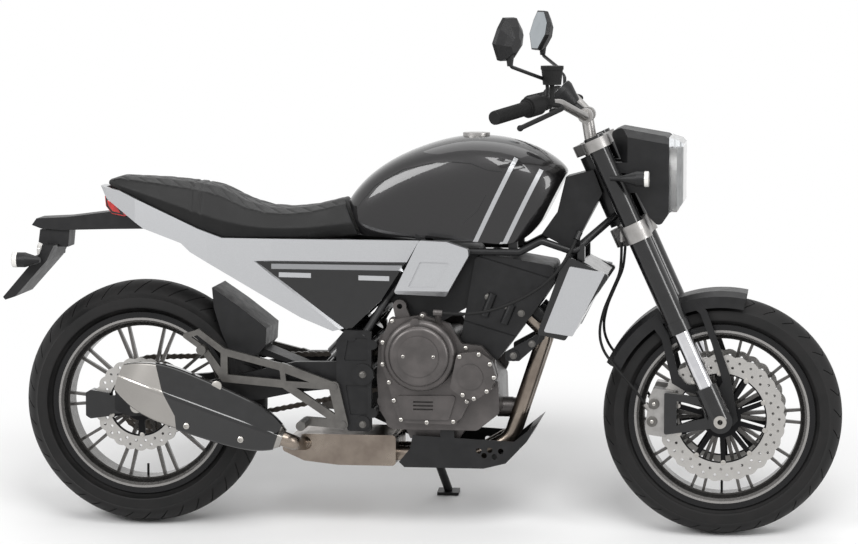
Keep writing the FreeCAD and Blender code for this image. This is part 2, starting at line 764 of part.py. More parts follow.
bracket = bracket.cut(slab(hollow, bracket_near - DISC_THICK * 3, bracket_near + DISC_THICK))
parts["fork_bottoms"] = both_sides(fuse([fork_bottom, bracket.cut(
    cross_rod(front_x, front_z, -2 * FORK_HALF_TRACK, 0, AXLE_RADIUS + CLEARANCE))]))
parts["front_calipers"] = both_sides(front_caliper.cut(slab(triangle,
                                                            bracket_near - DISC_THICK * 2 - CLEARANCE,
                                                            bracket_near + CLEARANCE)))


# Front fender: a thin hood round the top of the tyre, with two stays a side.


def hood(x, z, inner, half, depth, skin, start_deg, sweep_deg):
    """A curved guard over a tyre: a crowned top with short side skirts, swept about the axle."""
    outer = inner + skin
    profile = [V(0, -half, inner - depth), V(0, -half, inner - depth / 3), V(0, -half * 0.72, inner),
               V(0, half * 0.72, inner), V(0, half, inner - depth / 3), V(0, half, inner - depth),
               V(0, half + skin, inner - depth), V(0, half + skin, outer - depth / 3),
               V(0, half * 0.75, outer), V(0, -half * 0.75, outer), V(0, -half - skin, outer - depth / 3),
               V(0, -half - skin, inner - depth)]
    face = Part.Face(Part.makePolygon(profile + [profile[0]]))
    face.rotate(ORIGIN, UNIT_Y, 90 - start_deg)
    face.translate(V(x, 0, z))
    return face.revolve(V(x, 0, z), UNIT_Y, -sweep_deg)


fender_inner = FRONT_RADIUS + FENDER_GAP
fender = hood(front_x, front_z, fender_inner, FENDER_HALF, SHOULDER_DEPTH, FENDER_SKIN,
              FENDER_FRONT_DEG, FENDER_SWEEP_DEG)


# Two flat stays a side: one ahead of the fork down to the axle lug, one behind it to the fork bottom
stay_shares = [[(-0.245, 0.93), (-0.195, 0.97), (-0.126, 0.9), (-0.03, 0.64), (0.07, 0.36), (0.14, -0.01),
                (0.1, -0.06), (0.05, 0.06), (-0.045, 0.1), (-0.075, 0.16), (0.01, 0.31), (-0.083, 0.625),
                (-0.18, 0.875)],
               [(-0.6, 0.79), (-0.53, 0.85), (-0.44, 0.69), (-0.355, 0.36), (-0.29, 0.285), (-0.1, 0.25),
                (-0.12, 0.18), (-0.3, 0.225), (-0.41, 0.29), (-0.5, 0.66)]]
stay_y = -(FORK_HALF_TRACK - FORK_BOTTOM_RADIUS - CLEARANCE)
stays = [slab(place(front_x, FRONT_RADIUS, front_z, FRONT_RADIUS, shares), stay_y, -FENDER_HALF)
         for shares in stay_shares]
mirrored_stays = [s.mirror(ORIGIN, UNIT_Y) for s in stays]
parts["front_fender"] = fuse([fender] + stays + mirrored_stays)

# Handlebar, swept back and held in risers on the upper clamp
bar_path_shares = [(0.0, 0.0, 0.0), (0.0, 0.2, 0.0), (0.26, 0.46, 1.0), (0.47, 0.62, 1.0), (1.0, 1.0, 0.0)]


def bar_spot(back, out, up, side):
    x = BAR_CENTRE_X + (BAR_END_X - BAR_CENTRE_X) * back
    z = BAR_CENTRE_Z + (BAR_END_Z - BAR_CENTRE_Z) * back + BAR_RISE * up
    return V(x, side * BAR_HALF * out, z)


right_bar = [bar_spot(back, out, up, -1) for back, out, up in reversed(bar_path_shares)]
left_bar = [bar_spot(back, out, up, 1) for back, out, up in bar_path_shares[1:]]
bar_route = right_bar[:-1] + left_bar
bar = tube(bar_route, BAR_RADIUS, 5 * BAR_RADIUS)
riser_top = V(BAR_CENTRE_X, 0, BAR_CENTRE_Z)
clamp_top = stem_level(UPPER_CLAMP_Z, UPPER_CLAMP_THICK / 2 + CLEARANCE)
risers = []
for y in (-RISER_HALF_SPACING, RISER_HALF_SPACING):
    foot = fork_point(UPPER_CLAMP_Z, y) * 0.45 + stem_point(UPPER_CLAMP_Z) * 0.55
    foot = V(foot.x, y, foot.z) + rake_up * (UPPER_CLAMP_THICK / 2 + CLEARANCE)
    foot = foot - rake_up * ((foot - clamp_top).dot(rake_up))
    risers.append(rod(foot, V(BAR_CENTRE_X, y, BAR_CENTRE_Z), RISER_RADIUS * 0.8))
    risers.append(cross_rod(BAR_CENTRE_X, BAR_CENTRE_Z, y - RISER_RADIUS, y + RISER_RADIUS,
                            BAR_RADIUS + RISER_RADIUS / 2))
below = Part.makeBox(8 * CLAMP_RADIUS, 8 * CLAMP_RADIUS, 8 * CLAMP_RADIUS,
                     V(-4 * CLAMP_RADIUS, -4 * CLAMP_RADIUS, -8 * CLAMP_RADIUS))
below.rotate(ORIGIN, UNIT_Y, -RAKE_DEG)
below.translate(clamp_top)
parts["handlebar"] = fuse([bar] + risers).cut(below)

# Grips, switch housings, levers and the brake reservoir
grip_end = right_bar[0]
grip_run = right_bar[1] - right_bar[0]
grip_run.normalize()
inner_end = grip_end + grip_run * GRIP_LENGTH
housing_end = inner_end + grip_run * (GRIP_LENGTH * 0.34)
grip = rod(grip_end - grip_run * CLEARANCE * 5, inner_end, GRIP_RADIUS)
housing = rod(inner_end, housing_end, GRIP_RADIUS * 1.5)
perch_end = housing_end + grip_run * (GRIP_LENGTH * 0.2)
perch = rod(housing_end, perch_end, GRIP_RADIUS * 1.15)
lever_root = perch_end - grip_run * (GRIP_LENGTH * 0.1)
lever_knee = lever_root + UNIT_X * LEVER_REACH - UNIT_Z * LEVER_RADIUS - UNIT_Y * LEVER_RADIUS
lever_tip = grip_end + UNIT_X * LEVER_REACH - UNIT_Z * (4 * LEVER_RADIUS)
lever = tube([lever_root + UNIT_X * GRIP_RADIUS * 0.6, lever_knee, lever_tip], LEVER_RADIUS,
             LEVER_REACH / 4)
lever_ball = Part.makeSphere(LEVER_RADIUS * 1.3, lever_tip)
bar_bore_tool = tube(bar_route, BAR_RADIUS + CLEARANCE, 5 * BAR_RADIUS)
right_controls = fuse([grip, housing, perch, lever, lever_ball])
left_controls = right_controls.mirror(ORIGIN, UNIT_Y)
reservoir_foot = (housing_end + perch_end) * 0.5 + UNIT_X * (GRIP_RADIUS * 1.55)
reservoir_base = reservoir_foot + UNIT_Z * (RESERVOIR_STALK + GRIP_RADIUS)
lid_height = RESERVOIR_HEIGHT / 5
lid_base = reservoir_base + UNIT_Z * (RESERVOIR_HEIGHT - lid_height)
reservoir = fuse([Part.makeCone(RESERVOIR_RADIUS * 0.8, RESERVOIR_RADIUS * 0.94,
                                RESERVOIR_HEIGHT - lid_height,
                                reservoir_base, UNIT_Z),
                  Part.makeCylinder(RESERVOIR_RADIUS, lid_height, lid_base, UNIT_Z),
                  rod(reservoir_foot, reservoir_base, LEVER_RADIUS),
                  cross_rod(reservoir_foot.x - LEVER_RADIUS * 1.6, reservoir_foot.z,
                            reservoir_foot.y - LEVER_RADIUS, reservoir_foot.y + LEVER_RADIUS,
                            GRIP_RADIUS * 0.8)])
parts["hand_controls"] = Part.makeCompound([fuse([right_controls, reservoir]).cut(bar_bore_tool),
                                            left_controls.cut(bar_bore_tool)])

# Mirrors


def mirror_unit():
    """The right mirror: a shield-shaped head on a bent stem with a clamp beside the lever."""
    clamp_end = perch_end + grip_run * (GRIP_LENGTH * 0.16)
    clamp = rod(perch_end, clamp_end, GRIP_RADIUS)
    stem_foot = (perch_end + clamp_end) * 0.5 + UNIT_Z * (BAR_RADIUS * 1.2)
    half = MIRROR_WIDTH / 2
    base_z = MIRROR_TOP_Z - MIRROR_HEIGHT
    head_shares = [(-0.5, 1.0), (0.35, 1.0), (0.95, 0.72), (1.0, 0.4), (0.35, 0.0), (-0.4, 0.0),
                   (-1.0, 0.4),
                   (-0.8, 0.75)]
    heart = 0.38
    rings = []
    for deep, size in ((0.0, 1.0), (0.3, 1.0), (0.75, 0.72), (1.0, 0.36)):
        rings.append([V(MIRROR_DEPTH * deep, half * u * size, MIRROR_HEIGHT * (heart + (w - heart) * size))
                      for u, w in head_shares])
    head = polygon_loft(rings)
    head.rotate(ORIGIN, UNIT_Y, MIRROR_LEAN_DEG)
    head.rotate(ORIGIN, UNIT_Z, MIRROR_TOE_DEG)
    head.translate(V(MIRROR_X, -MIRROR_Y, base_z))
    neck = head.CenterOfMass - UNIT_Z * (MIRROR_HEIGHT * 0.3)
    collar_foot = neck - UNIT_Z * (MIRROR_HEIGHT * 0.3)
    collar = Part.makeCone(MIRROR_STEM_RADIUS * 1.5, MIRROR_STEM_RADIUS * 2.4, MIRROR_HEIGHT * 0.3,
                           collar_foot,
                           UNIT_Z)
    knee = V(stem_foot.x, stem_foot.y, (stem_foot.z + collar_foot.z) / 2)
    stem = tube([stem_foot, knee, collar_foot, neck], MIRROR_STEM_RADIUS, 6 * MIRROR_STEM_RADIUS)
    return fuse([head, collar, stem, clamp])


right_mirror = mirror_unit()
controls_tool = parts["hand_controls"]
right_mirror = right_mirror.cut(controls_tool).cut(bar_bore_tool)
right_mirror = max(right_mirror.Solids, key=lambda s: s.Volume)
parts["mirrors"] = both_sides(right_mirror)

# Headlight: an angular shell with a flat clear lens
lamp_side_shares = [(0.0, 0.955), (0.17, 1.0), (1.0, 0.915), (1.0, 0.14), (0.85, 0.0), (0.68, 0.1),
                    (0.3, 0.52)]
lamp_outline = place(LAMP_REAR_X, LAMP_LENGTH, LAMP_BASE_Z, LAMP_HEIGHT, lamp_side_shares)
lamp = slab(lamp_outline, -LAMP_HALF, LAMP_HALF, LAMP_LENGTH / 12)
lamp_plan_shares = [(0.0, -0.62), (0.3, -0.93), (1.0, -1.0), (1.0, 1.0), (0.3, 0.93), (0.0, 0.62)]
lamp_plan = [(LAMP_REAR_X + LAMP_LENGTH * u, LAMP_HALF * w) for u, w in lamp_plan_shares]
lamp = lamp.common(plan_slab(lamp_plan, LAMP_BASE_Z - LAMP_HEIGHT, LAMP_BASE_Z + 2 * LAMP_HEIGHT))
brow_shares = [(-1.0, -0.1), (1.0, -0.1), (1.0, 0.84), (0.74, 1.1), (-0.74, 1.1), (-1.0, 0.84)]
brow = [V(LAMP_REAR_X, LAMP_HALF * u, LAMP_BASE_Z + LAMP_HEIGHT * w) for u, w in brow_shares]
brow = Part.Face(Part.makePolygon(brow + [brow[0]])).extrude(V(LAMP_LENGTH, 0, 0))
lamp = lamp.common(brow)
ear_half = FORK_HALF_TRACK - FORK_UPPER_RADIUS * 0.7
for ear_share in (0.40, 0.60):
    ear_z = LAMP_BASE_Z + LAMP_HEIGHT * ear_share
    for near in (-ear_half, ear_half - EAR_WIDTH):
        lamp = lamp.fuse(Part.makeBox(EAR_LENGTH, EAR_WIDTH, EAR_HEIGHT,
                                      V(fork_point(ear_z).x, near, ear_z - EAR_HEIGHT / 2)))
for y in (-FORK_HALF_TRACK, FORK_HALF_TRACK):
    lamp = lamp.cut(fork_rod(LOWER_CLAMP_Z, FORK_TOP_Z, y, FORK_UPPER_RADIUS + CLEARANCE))
parts["headlight_shell"] = max(lamp.Solids, key=lambda solid: solid.Volume)
lens_x = LAMP_REAR_X + LAMP_LENGTH + CLEARANCE
lens_low = LAMP_BASE_Z + LAMP_HEIGHT * 0.145
lens_high = LAMP_BASE_Z + LAMP_HEIGHT * 0.91
lens_rings = []
for deep, inset_share in ((0.0, 0.0), (0.72, 0.1), (1.0, 0.22)):
    inset = LENS_DEPTH * inset_share
    x = lens_x + LENS_DEPTH * deep
    low = lens_low + inset * 3.4
    high = lens_high - inset * 2.2
    y = LENS_HALF - inset
    lens_rings.append([V(x, -y, low), V(x, y, low), V(x, y, high), V(x, -y, high)])
parts["headlight_lens"] = polygon_loft(lens_rings)

# Front indicators, on stalks from the fork tubes
indicator_x = fork_point(INDICATOR_Z).x + FORK_UPPER_RADIUS


def indicator(x, y, z, stalk_start, forward):
    """A small oval turn signal on a short stalk, its lens end flat."""
    tail = V(x, y, z)
    nose = V(x + forward * INDICATOR_LENGTH, y, z)
    run = nose - tail
    body = Part.makeCone(INDICATOR_RADIUS * 0.35, INDICATOR_RADIUS, INDICATOR_LENGTH * 0.55, tail, run)
    drum = Part.makeCylinder(INDICATOR_RADIUS, INDICATOR_LENGTH * 0.45, tail + run * 0.55, run)
    stalk = rod(stalk_start, tail + run * 0.5, INDICATOR_STALK)
    return fuse([body, drum, stalk])


stalk_root = fork_point(INDICATOR_Z, -FORK_HALF_TRACK - FORK_UPPER_RADIUS - CLEARANCE)
right_indicator = indicator(indicator_x, -INDICATOR_OUT, INDICATOR_Z, stalk_root, 1)
right_indicator = right_indicator.cut(rod(fork_point(INDICATOR_Z - 2 * INDICATOR_LENGTH, -FORK_HALF_TRACK),
                                          fork_point(FORK_TOP_Z, -FORK_HALF_TRACK),
                                          FORK_UPPER_RADIUS + CLEARANCE))
parts["front_indicators"] = both_sides(max(right_indicator.Solids, key=lambda s: s.Volume))

# Instrument on a bracket ahead of the bar
dial_dir = V(-math.cos(math.radians(DIAL_TILT_DEG)), 0, math.sin(math.radians(DIAL_TILT_DEG)))
dial_back = V(DIAL_X, 0, DIAL_Z) - dial_dir * DIAL_DEPTH
dial = fuse([Part.makeCone(DIAL_RADIUS * 0.58, DIAL_RADIUS, DIAL_DEPTH * 0.8, dial_back, dial_dir),
             Part.makeCylinder(DIAL_RADIUS, DIAL_DEPTH * 0.2, dial_back + dial_dir * (DIAL_DEPTH * 0.8),
                               dial_dir)])
dial_leg = rod(riser_top, dial_back + dial_dir * (DIAL_DEPTH / 8), BAR_RADIUS * 0.9)
instrument = fuse([dial, dial_leg]).cut(tube(bar_route, BAR_RADIUS + CLEARANCE, 5 * BAR_RADIUS))
parts["instrument"] = max(instrument.Solids, key=lambda s: s.Volume)


# Fuel tank, lofted through fanned sections: base x and z, top x and z, then half widths going up
tank_section_shares = [
    (0.060, 0.090, 0.000, 0.405, 0.50, 0.56, 0.52, 0.40),
    (0.095, 0.066, 0.075, 0.590, 0.60, 0.68, 0.70, 0.54),
    (0.210, 0.055, 0.210, 0.785, 0.70, 0.78, 0.82, 0.68),
    (0.370, 0.052, 0.375, 0.925, 0.78, 0.85, 0.90, 0.78),
    (0.535, 0.035, 0.555, 1.000, 0.84, 0.92, 0.98, 0.84),
    (0.680, 0.010, 0.735, 0.975, 0.86, 0.98, 1.00, 0.84),
    (0.765, 0.018, 0.870, 0.885, 0.80, 0.93, 0.95, 0.76),
    (0.828, 0.080, 0.965, 0.765, 0.66, 0.78, 0.80, 0.62),
    (0.890, 0.225, 1.000, 0.665, 0.40, 0.50, 0.50, 0.38)]
tank_rings = []
for base_u, base_w, top_u, top_w, foot, low, middle, shoulder in tank_section_shares:
    base = V(tank_rear_x + TANK_LENGTH * base_u, 0, TANK_BASE_Z + TANK_HEIGHT * base_w)
    top = V(tank_rear_x + TANK_LENGTH * top_u, 0, TANK_BASE_Z + TANK_HEIGHT * top_w)
    tank_rings.append(upright_ring(base, top, [(0.02, TANK_HALF * foot), (0.28, TANK_HALF * low),
                                               (0.58, TANK_HALF * middle), (0.86, TANK_HALF * shoulder)]))
parts["fuel_tank"] = arch_loft([ring[1:] for ring in tank_rings])
tank_top = TANK_BASE_Z + TANK_HEIGHT
cap_x = tank_rear_x + TANK_LENGTH * 0.58
cap = Part.makeCylinder(CAP_RADIUS, CAP_HEIGHT + CAP_RADIUS / 2, V(cap_x, 0, tank_top - CAP_RADIUS / 2),
                        UNIT_Z)
parts["filler_cap"] = cap
parts["fuel_tank"] = parts["fuel_tank"].cut(cap)

# Seat, a simple closed cushion with flat faces between its stations
seat_section_shares = [
    (0.000, 0.850, 0.000, 0.935, 0.36), (0.055, 0.760, 0.055, 1.000, 0.58), (0.235, 0.440, 0.235, 0.965,
                                                                             0.82),
    (0.395, 0.150, 0.405, 0.900, 0.94), (0.500, 0.000, 0.476, 0.832, 0.97), (0.585, 0.000, 0.585, 0.612,
                                                                             0.98),
    (0.675, 0.000, 0.675, 0.503, 1.00), (0.765, 0.000, 0.765, 0.480, 1.00), (0.863, 0.000, 0.863, 0.523,
                                                                             0.95),
    (0.935, 0.000, 0.935, 0.597, 0.82), (1.060, 0.035, 0.995, 0.665, 0.62)]
seat_rings = []
panel_top = []
for base_u, base_w, top_u, top_w, half in seat_section_shares:
    base = V(seat_rear_x + SEAT_LENGTH * base_u, 0, SEAT_BASE_Z + SEAT_HEIGHT * base_w)
    top = V(seat_rear_x + SEAT_LENGTH * top_u, 0, SEAT_BASE_Z + SEAT_HEIGHT * top_w)
    seat_rings.append(upright_ring(base, top, [(0.0, SEAT_HALF * half * 0.9), (0.35, SEAT_HALF * half),
                                               (0.85, SEAT_HALF * half * 0.84), (1.0,
                                                                                 SEAT_HALF * half * 0.45)]))
    panel_top.append((base.x, base.z - SEAT_GAP))
parts["seat"] = polygon_loft(seat_rings)

# Silver panels: a loop in plan that closes round the tail, cut to the side outline
panel_shares = [(0.0, 1.0), (0.07, 0.97), (0.2, 0.836), (0.319, 0.715), (0.395, 0.652), (1.0, 0.652),
                (0.958, 0.478), (0.502, 0.487), (0.776, 0.022), (0.737, 0.0), (0.639, 0.093), (0.295,
                                                                                               0.545),
                (0.266, 0.607), (0.145, 0.706), (0.095, 0.79), (0.026, 0.906)]
panel_points = place(panel_rear_x, panel_length, PANEL_BASE_Z, PANEL_HEIGHT, panel_shares)
panel_plan_shares = [(0.0, 0.2), (0.02, 0.36), (0.12, 0.62), (0.35, 0.85), (0.55, 0.94), (1.02, 1.0)]


def panel_plan(half, skin):
    rear = panel_rear_x + skin
    length = panel_length - skin
    side = [(rear + length * u, half * w) for u, w in panel_plan_shares]
    side[-1] = (panel_rear_x + panel_length * panel_plan_shares[-1][0] + skin, side[-1][1])
    return [(x, -y) for x, y in reversed(side)] + side


panel_low = PANEL_BASE_Z - PANEL_HEIGHT
panel_high = PANEL_BASE_Z + 2 * PANEL_HEIGHT
panel_outer = plan_slab(panel_plan(PANEL_HALF, 0.0), panel_low, panel_high)
panel_inner = plan_slab(panel_plan(PANEL_HALF - PANEL_SKIN, PANEL_SKIN), panel_low, panel_high)
panel_loop = panel_outer.cut(panel_inner)
panel_side = slab(panel_points, -2 * PANEL_HALF, 2 * PANEL_HALF)
silver = panel_side.common(panel_loop)
window_shares = [(0.958, 0.478), (0.502, 0.487), (0.776, 0.022)]
window = place(panel_rear_x, panel_length, PANEL_BASE_Z, PANEL_HEIGHT, window_shares)
wide_window = [(window[0][0] + 2 * PANEL_BEVEL, window[0][1] + PANEL_BEVEL),
               (window[1][0] - 3 * PANEL_BEVEL, window[1][1] + PANEL_BEVEL),
               (window[2][0] - PANEL_BEVEL, window[2][1] - 2 * PANEL_BEVEL)]
window_y = PANEL_HALF - PANEL_SKIN
bevel = polygon_loft([[V(x, window_y, z) for x, z in window], [V(x, PANEL_HALF + COVER_INSET, z) for x,
                                                               z in wide_window]])
silver = silver.cut(both_sides(bevel))
seat_floor = place(seat_rear_x, SEAT_LENGTH, SEAT_BASE_Z - SEAT_GAP, SEAT_HEIGHT,
                   [(-0.01, 0.855), (0.0, 0.850), (0.055, 0.760), (0.235, 0.440), (0.395, 0.150),
                    (0.5, 0.0),
                    (1.0, 0.0), (1.06, 0.035), (1.2, 1.5), (-0.01, 1.5)])
silver = silver.cut(slab(seat_floor, -2 * PANEL_HALF, 2 * PANEL_HALF))

# Silver intake covers ahead of the panels
intake_shares = [(0.0, 0.036), (0.347, 1.0), (0.71, 0.98), (0.99, 0.857), (1.0, 0.736), (0.695, 0.0)]
intake_points = place(INTAKE_REAR_X, INTAKE_LENGTH, INTAKE_BASE_Z, INTAKE_HEIGHT, intake_shares)
intake = slab(intake_points, -INTAKE_FACE, -INTAKE_FACE + INTAKE_SKIN, INTAKE_CORNER)
recess_shares = [(0.36, 0.62), (0.75, 0.61), (0.57, 0.17), (0.2, 0.16)]
recess_points = place(INTAKE_REAR_X, INTAKE_LENGTH, INTAKE_BASE_Z, INTAKE_HEIGHT, recess_shares)
intake = intake.cut(slab(recess_points, -2 * INTAKE_FACE, -INTAKE_FACE + INTAKE_RECESS, INTAKE_CORNER / 2))
intake_bevel = place(INTAKE_REAR_X, INTAKE_LENGTH, INTAKE_BASE_Z, INTAKE_HEIGHT,
                     [(-0.3, -0.2), (1.2, -0.2), (0.75, 0.10), (-0.1, 0.10)])
bevel_rings = [[V(x, -INTAKE_FACE - CLEARANCE, z) for x, z in intake_bevel],
               [V(x, -INTAKE_FACE + INTAKE_SKIN / 2, z - INTAKE_HEIGHT * 0.14) for x, z in intake_bevel]]
intake = intake.cut(polygon_loft(bevel_rings))
panel_front = slab([(x + 2 * CLEARANCE, z) for x, z in panel_points], -2 * PANEL_HALF, 0)
intake = intake.cut(panel_front)
silver = silver.cut(both_sides(intake))
intake_boss = cross_rod(INTAKE_REAR_X + INTAKE_LENGTH * 0.52, INTAKE_BASE_Z + INTAKE_HEIGHT * 0.33,
                        -INTAKE_FACE + INTAKE_SKIN / 2, -AIRBOX_HALF, INTAKE_CORNER)
intake = fuse([intake, intake_boss])
parts["side_panels"] = Part.makeCompound(silver.Solids + [intake, intake.mirror(ORIGIN, UNIT_Y)])

# Black covers in the triangle under the silver band
cover_shares = [(0.45, 0.55), (0.968, 0.53), (0.885, 0.226), (0.785, 0.0)]
cover_points = place(panel_rear_x, panel_length, PANEL_BASE_Z, PANEL_HEIGHT, cover_shares)
cover_outer = plan_slab(panel_plan(PANEL_HALF - COVER_INSET, COVER_INSET), panel_low, panel_high)
cover_inner = plan_slab(panel_plan(PANEL_HALF - COVER_INSET - COVER_SKIN, COVER_INSET + COVER_SKIN),
                        panel_low, panel_high)
cover = slab(cover_points, -2 * PANEL_HALF, 2 * PANEL_HALF).common(cover_outer.cut(cover_inner))
cover = cover.cut(parts["side_panels"])
cover_solids = sorted(cover.Solids, key=lambda s: -s.Volume)[:2]
parts["side_covers"] = Part.makeCompound(cover_solids)

# Tail lamp under the tip of the tail
tail_lamp_shares = [(0.018, 0.93), (0.021, 0.856), (0.04, 0.80), (0.079, 0.782), (0.1, 0.8), (0.055, 0.94)]
tail_lamp_points = place(panel_rear_x, panel_length, PANEL_BASE_Z, PANEL_HEIGHT, tail_lamp_shares)
parts["tail_lamp"] = slab(tail_lamp_points, -TAIL_LAMP_HALF, TAIL_LAMP_HALF).cut(
    fuse(silver.Solids)).cut(parts["seat"])

# Clutch cable route, from its arm on the right cover up to a clip on the frame
cable_route = [V(48, -172, 566), V(98, -168, 563), V(150, -162, 568), V(202, -155, 583), V(252, -149, 606),
               V(298, -145, 636), V(334, -142, 672), V(360, -134, 712), V(376, -116, 748)]

# Engine: crankcase with its sump, filter and mount lugs
crank_shares = [(0.0, 0.55), (0.02, 0.98), (0.62, 1.0), (0.68, 0.82), (0.86, 0.72), (0.99, 0.5),
                (1.0, 0.18),
                (0.82, 0.0), (0.12, 0.0), (0.02, 0.2)]
crank_points = place(CRANK_REAR_X, CRANK_LENGTH, CRANK_BASE_Z, CRANK_HEIGHT, crank_shares)
crankcase = slab(crank_points, -CRANK_HALF, CRANK_HALF, CRANK_HEIGHT / 16)
sump = slab(place(CRANK_REAR_X, CRANK_LENGTH, CRANK_BASE_Z, CRANK_HEIGHT,
                  [(0.2, 0.05), (0.74, 0.05), (0.66, -0.11), (0.26, -0.11)]), -SUMP_HALF, SUMP_HALF)
engine_pieces = [crankcase, sump]
for i in range(SUMP_FINS):
    fin_x = CRANK_REAR_X + CRANK_LENGTH * (0.29 + 0.06 * i)
    engine_pieces.append(Part.makeBox(SUMP_FIN_THICK, 2 * SUMP_HALF, CRANK_HEIGHT * 0.2,
                                      V(fin_x, -SUMP_HALF, CRANK_BASE_Z - CRANK_HEIGHT * 0.14)))
filter_z = CRANK_BASE_Z + CRANK_HEIGHT * 0.19
filter_x = CRANK_REAR_X + CRANK_LENGTH * 0.95
engine_pieces.append(rod(V(filter_x, 0, filter_z), V(filter_x + FILTER_LENGTH, 0, filter_z), FILTER_RADIUS))
engine_pieces.append(rod(V(filter_x, 0, filter_z), V(filter_x + FILTER_LENGTH * 0.55, 0, filter_z),
                         FILTER_RADIUS + CLEARANCE * 5))
lug_shares = [(0.058, 0.287, 0.1, 0.287), (0.129, 0.079, 0.2, 0.1), (0.187, 1.263, 0.25, 0.9)]
for u, w, root_u, root_w in lug_shares:
    (x, z), (root_x, root_z) = place(CRANK_REAR_X, CRANK_LENGTH, CRANK_BASE_Z, CRANK_HEIGHT,
                                     [(u, w), (root_u, root_w)])
    for side in (-1, 1):
        near, far = side * (CRANK_HALF - MOUNT_LUG_THICK), side * CRANK_HALF
        eye = cross_rod(x, z, near, far, MOUNT_LUG_RADIUS)
        web = slab([(x - MOUNT_LUG_RADIUS, z), (x + MOUNT_LUG_RADIUS * 0.9, z),
                    (root_x + 2 * MOUNT_LUG_RADIUS, root_z),
                    (root_x - MOUNT_LUG_RADIUS, root_z)], near, far)
        engine_pieces.append(fuse([eye, web]).cut(cross_rod(x, z, near, far, MOUNT_LUG_RADIUS * 0.4)))
crankcase = fuse(engine_pieces)

# Cylinder block and head, leaning forward, with the joint lines of its head and cam cover
cylinder_base_z = CRANK_BASE_Z + CRANK_HEIGHT * 0.72
cylinder_shares = [(0.06, 0.0), (0.0, 0.14), (0.165, 0.97), (0.3, 1.0), (0.97, 0.9), (1.0, 0.76),
                   (0.81, 0.5),
                   (0.40, 0.0)]
cylinder_points = place(CYLINDER_REAR_X, CYLINDER_LENGTH, cylinder_base_z, CYLINDER_HEIGHT, cylinder_shares)
cylinders = slab(cylinder_points, -CYLINDER_HALF, CYLINDER_HALF, CYLINDER_LENGTH / 20)
joint_shares = [((-0.1, 0.42), (1.1, 0.10)), ((-0.1, 1.07), (1.1, 0.75))]
for side in (-1, 1):
    near = side * (CYLINDER_HALF - HEAD_GROOVE)
    far = side * (CYLINDER_HALF + HEAD_GROOVE)
    for start, end in joint_shares:
        ends = place(CYLINDER_REAR_X, CYLINDER_LENGTH, cylinder_base_z, CYLINDER_HEIGHT, [start, end])
        groove = [(ends[0][0], ends[0][1]), (ends[1][0], ends[1][1]),
                  (ends[1][0], ends[1][1] - HEAD_GROOVE),
                  (ends[0][0], ends[0][1] - HEAD_GROOVE)]
        cylinders = cylinders.cut(slab(groove, near, far))
chain_case = slab(place(CYLINDER_REAR_X, CYLINDER_LENGTH, cylinder_base_z, CYLINDER_HEIGHT,
                        [(0.2, 0.02), (0.42, 0.02), (0.56, 0.62), (0.52, 0.93), (0.36, 0.95), (0.3, 0.62)]),
                  CYLINDER_HALF, CYLINDER_HALF + HEAD_GROOVE * 3, CYLINDER_LENGTH / 24)
head_pieces = [cylinders, chain_case]
post_shares = [((0.26, 0.42), (0.35, 0.63)), ((0.465, 0.35), (0.55, 0.53))]
for start, end in post_shares:
    (low_x, low_z), (high_x, high_z) = place(CYLINDER_REAR_X, CYLINDER_LENGTH, cylinder_base_z,
                                             CYLINDER_HEIGHT,
                                             [start, end])
    head_pieces.append(rod(V(low_x, -CYLINDER_HALF, low_z), V(high_x, -CYLINDER_HALF, high_z), POST_RADIUS))
port_root = place(CYLINDER_REAR_X, CYLINDER_LENGTH, cylinder_base_z, CYLINDER_HEIGHT, [(0.78, 0.46)])[0]
for side in (-1, 1):
    port = V(port_root[0], side * PORT_HALF_SPACING, port_root[1])
    head_pieces.append(rod(port, port + V(PIPE_RADIUS, 0, -PIPE_RADIUS * 0.9), PIPE_RADIUS * 1.3))
cylinders = fuse(head_pieces).cut(crankcase)
parts["engine_crankcase"] = crankcase
parts["engine_cylinders"] = cylinders


def drum_cover(x, z, near, face, radius, side):
    """A domed round cover on the side given by -1 or 1, its outer edge rounded."""
    drum = Part.makeCylinder(radius, face - near, V(x, side * near, z), UNIT_Y * side)
    edge = max(drum.Edges, key=lambda rim_edge: abs(rim_edge.CenterOfMass.y))
    return drum.makeFillet(min(radius / 6, (face - near) * 0.6), [edge])


flange_near = CRANK_HALF + CLEARANCE
flange_face = flange_near + COVER_FLANGE
flange_shares = [(0.11, 1.13), (0.385, 1.19), (0.6, 1.1), (0.7, 0.9), (0.86, 0.88), (0.96, 0.74),
                 (1.0, 0.58),
                 (0.94, 0.42), (0.76, 0.29), (0.7, 0.14), (0.63, 0.07), (0.2, 0.08), (0.14, 0.3), (0.1,
                                                                                                   0.5),
                 (0.05, 0.68), (0.05, 0.92)]
flange_points = place(CRANK_REAR_X, CRANK_LENGTH, CRANK_BASE_Z, CRANK_HEIGHT, flange_shares)
bolt_shares = [(0.138, 1.123), (0.062, 0.904), (0.062, 0.68), (0.112, 0.498), (0.151, 0.307), (0.21, 0.113),
               (0.421, 0.089), (0.636, 0.101), (0.746, 0.312), (0.936, 0.458), (0.943, 0.719), (0.736,
                                                                                                0.86),
               (0.385, 1.179)]
bolt_spots = place(CRANK_REAR_X, CRANK_LENGTH, CRANK_BASE_Z, CRANK_HEIGHT, bolt_shares)
cover_bosses = [cross_rod(x, z, -flange_near - COVER_FLANGE * 0.9, -flange_near, COVER_BOSS_RADIUS) for x,
                z in bolt_spots]
right_covers = [slab(flange_points, -flange_face, -flange_near, COVER_FLANGE / 2)] + cover_bosses
step_face = (flange_face + CLUTCH_FACE * 2) / 3
right_covers.append(drum_cover(CLUTCH_X, CLUTCH_Z, flange_near, step_face, CLUTCH_RADIUS, -1))
right_covers.append(drum_cover(CLUTCH_X, CLUTCH_Z, flange_near, CLUTCH_FACE, CLUTCH_RADIUS * 0.84, -1))
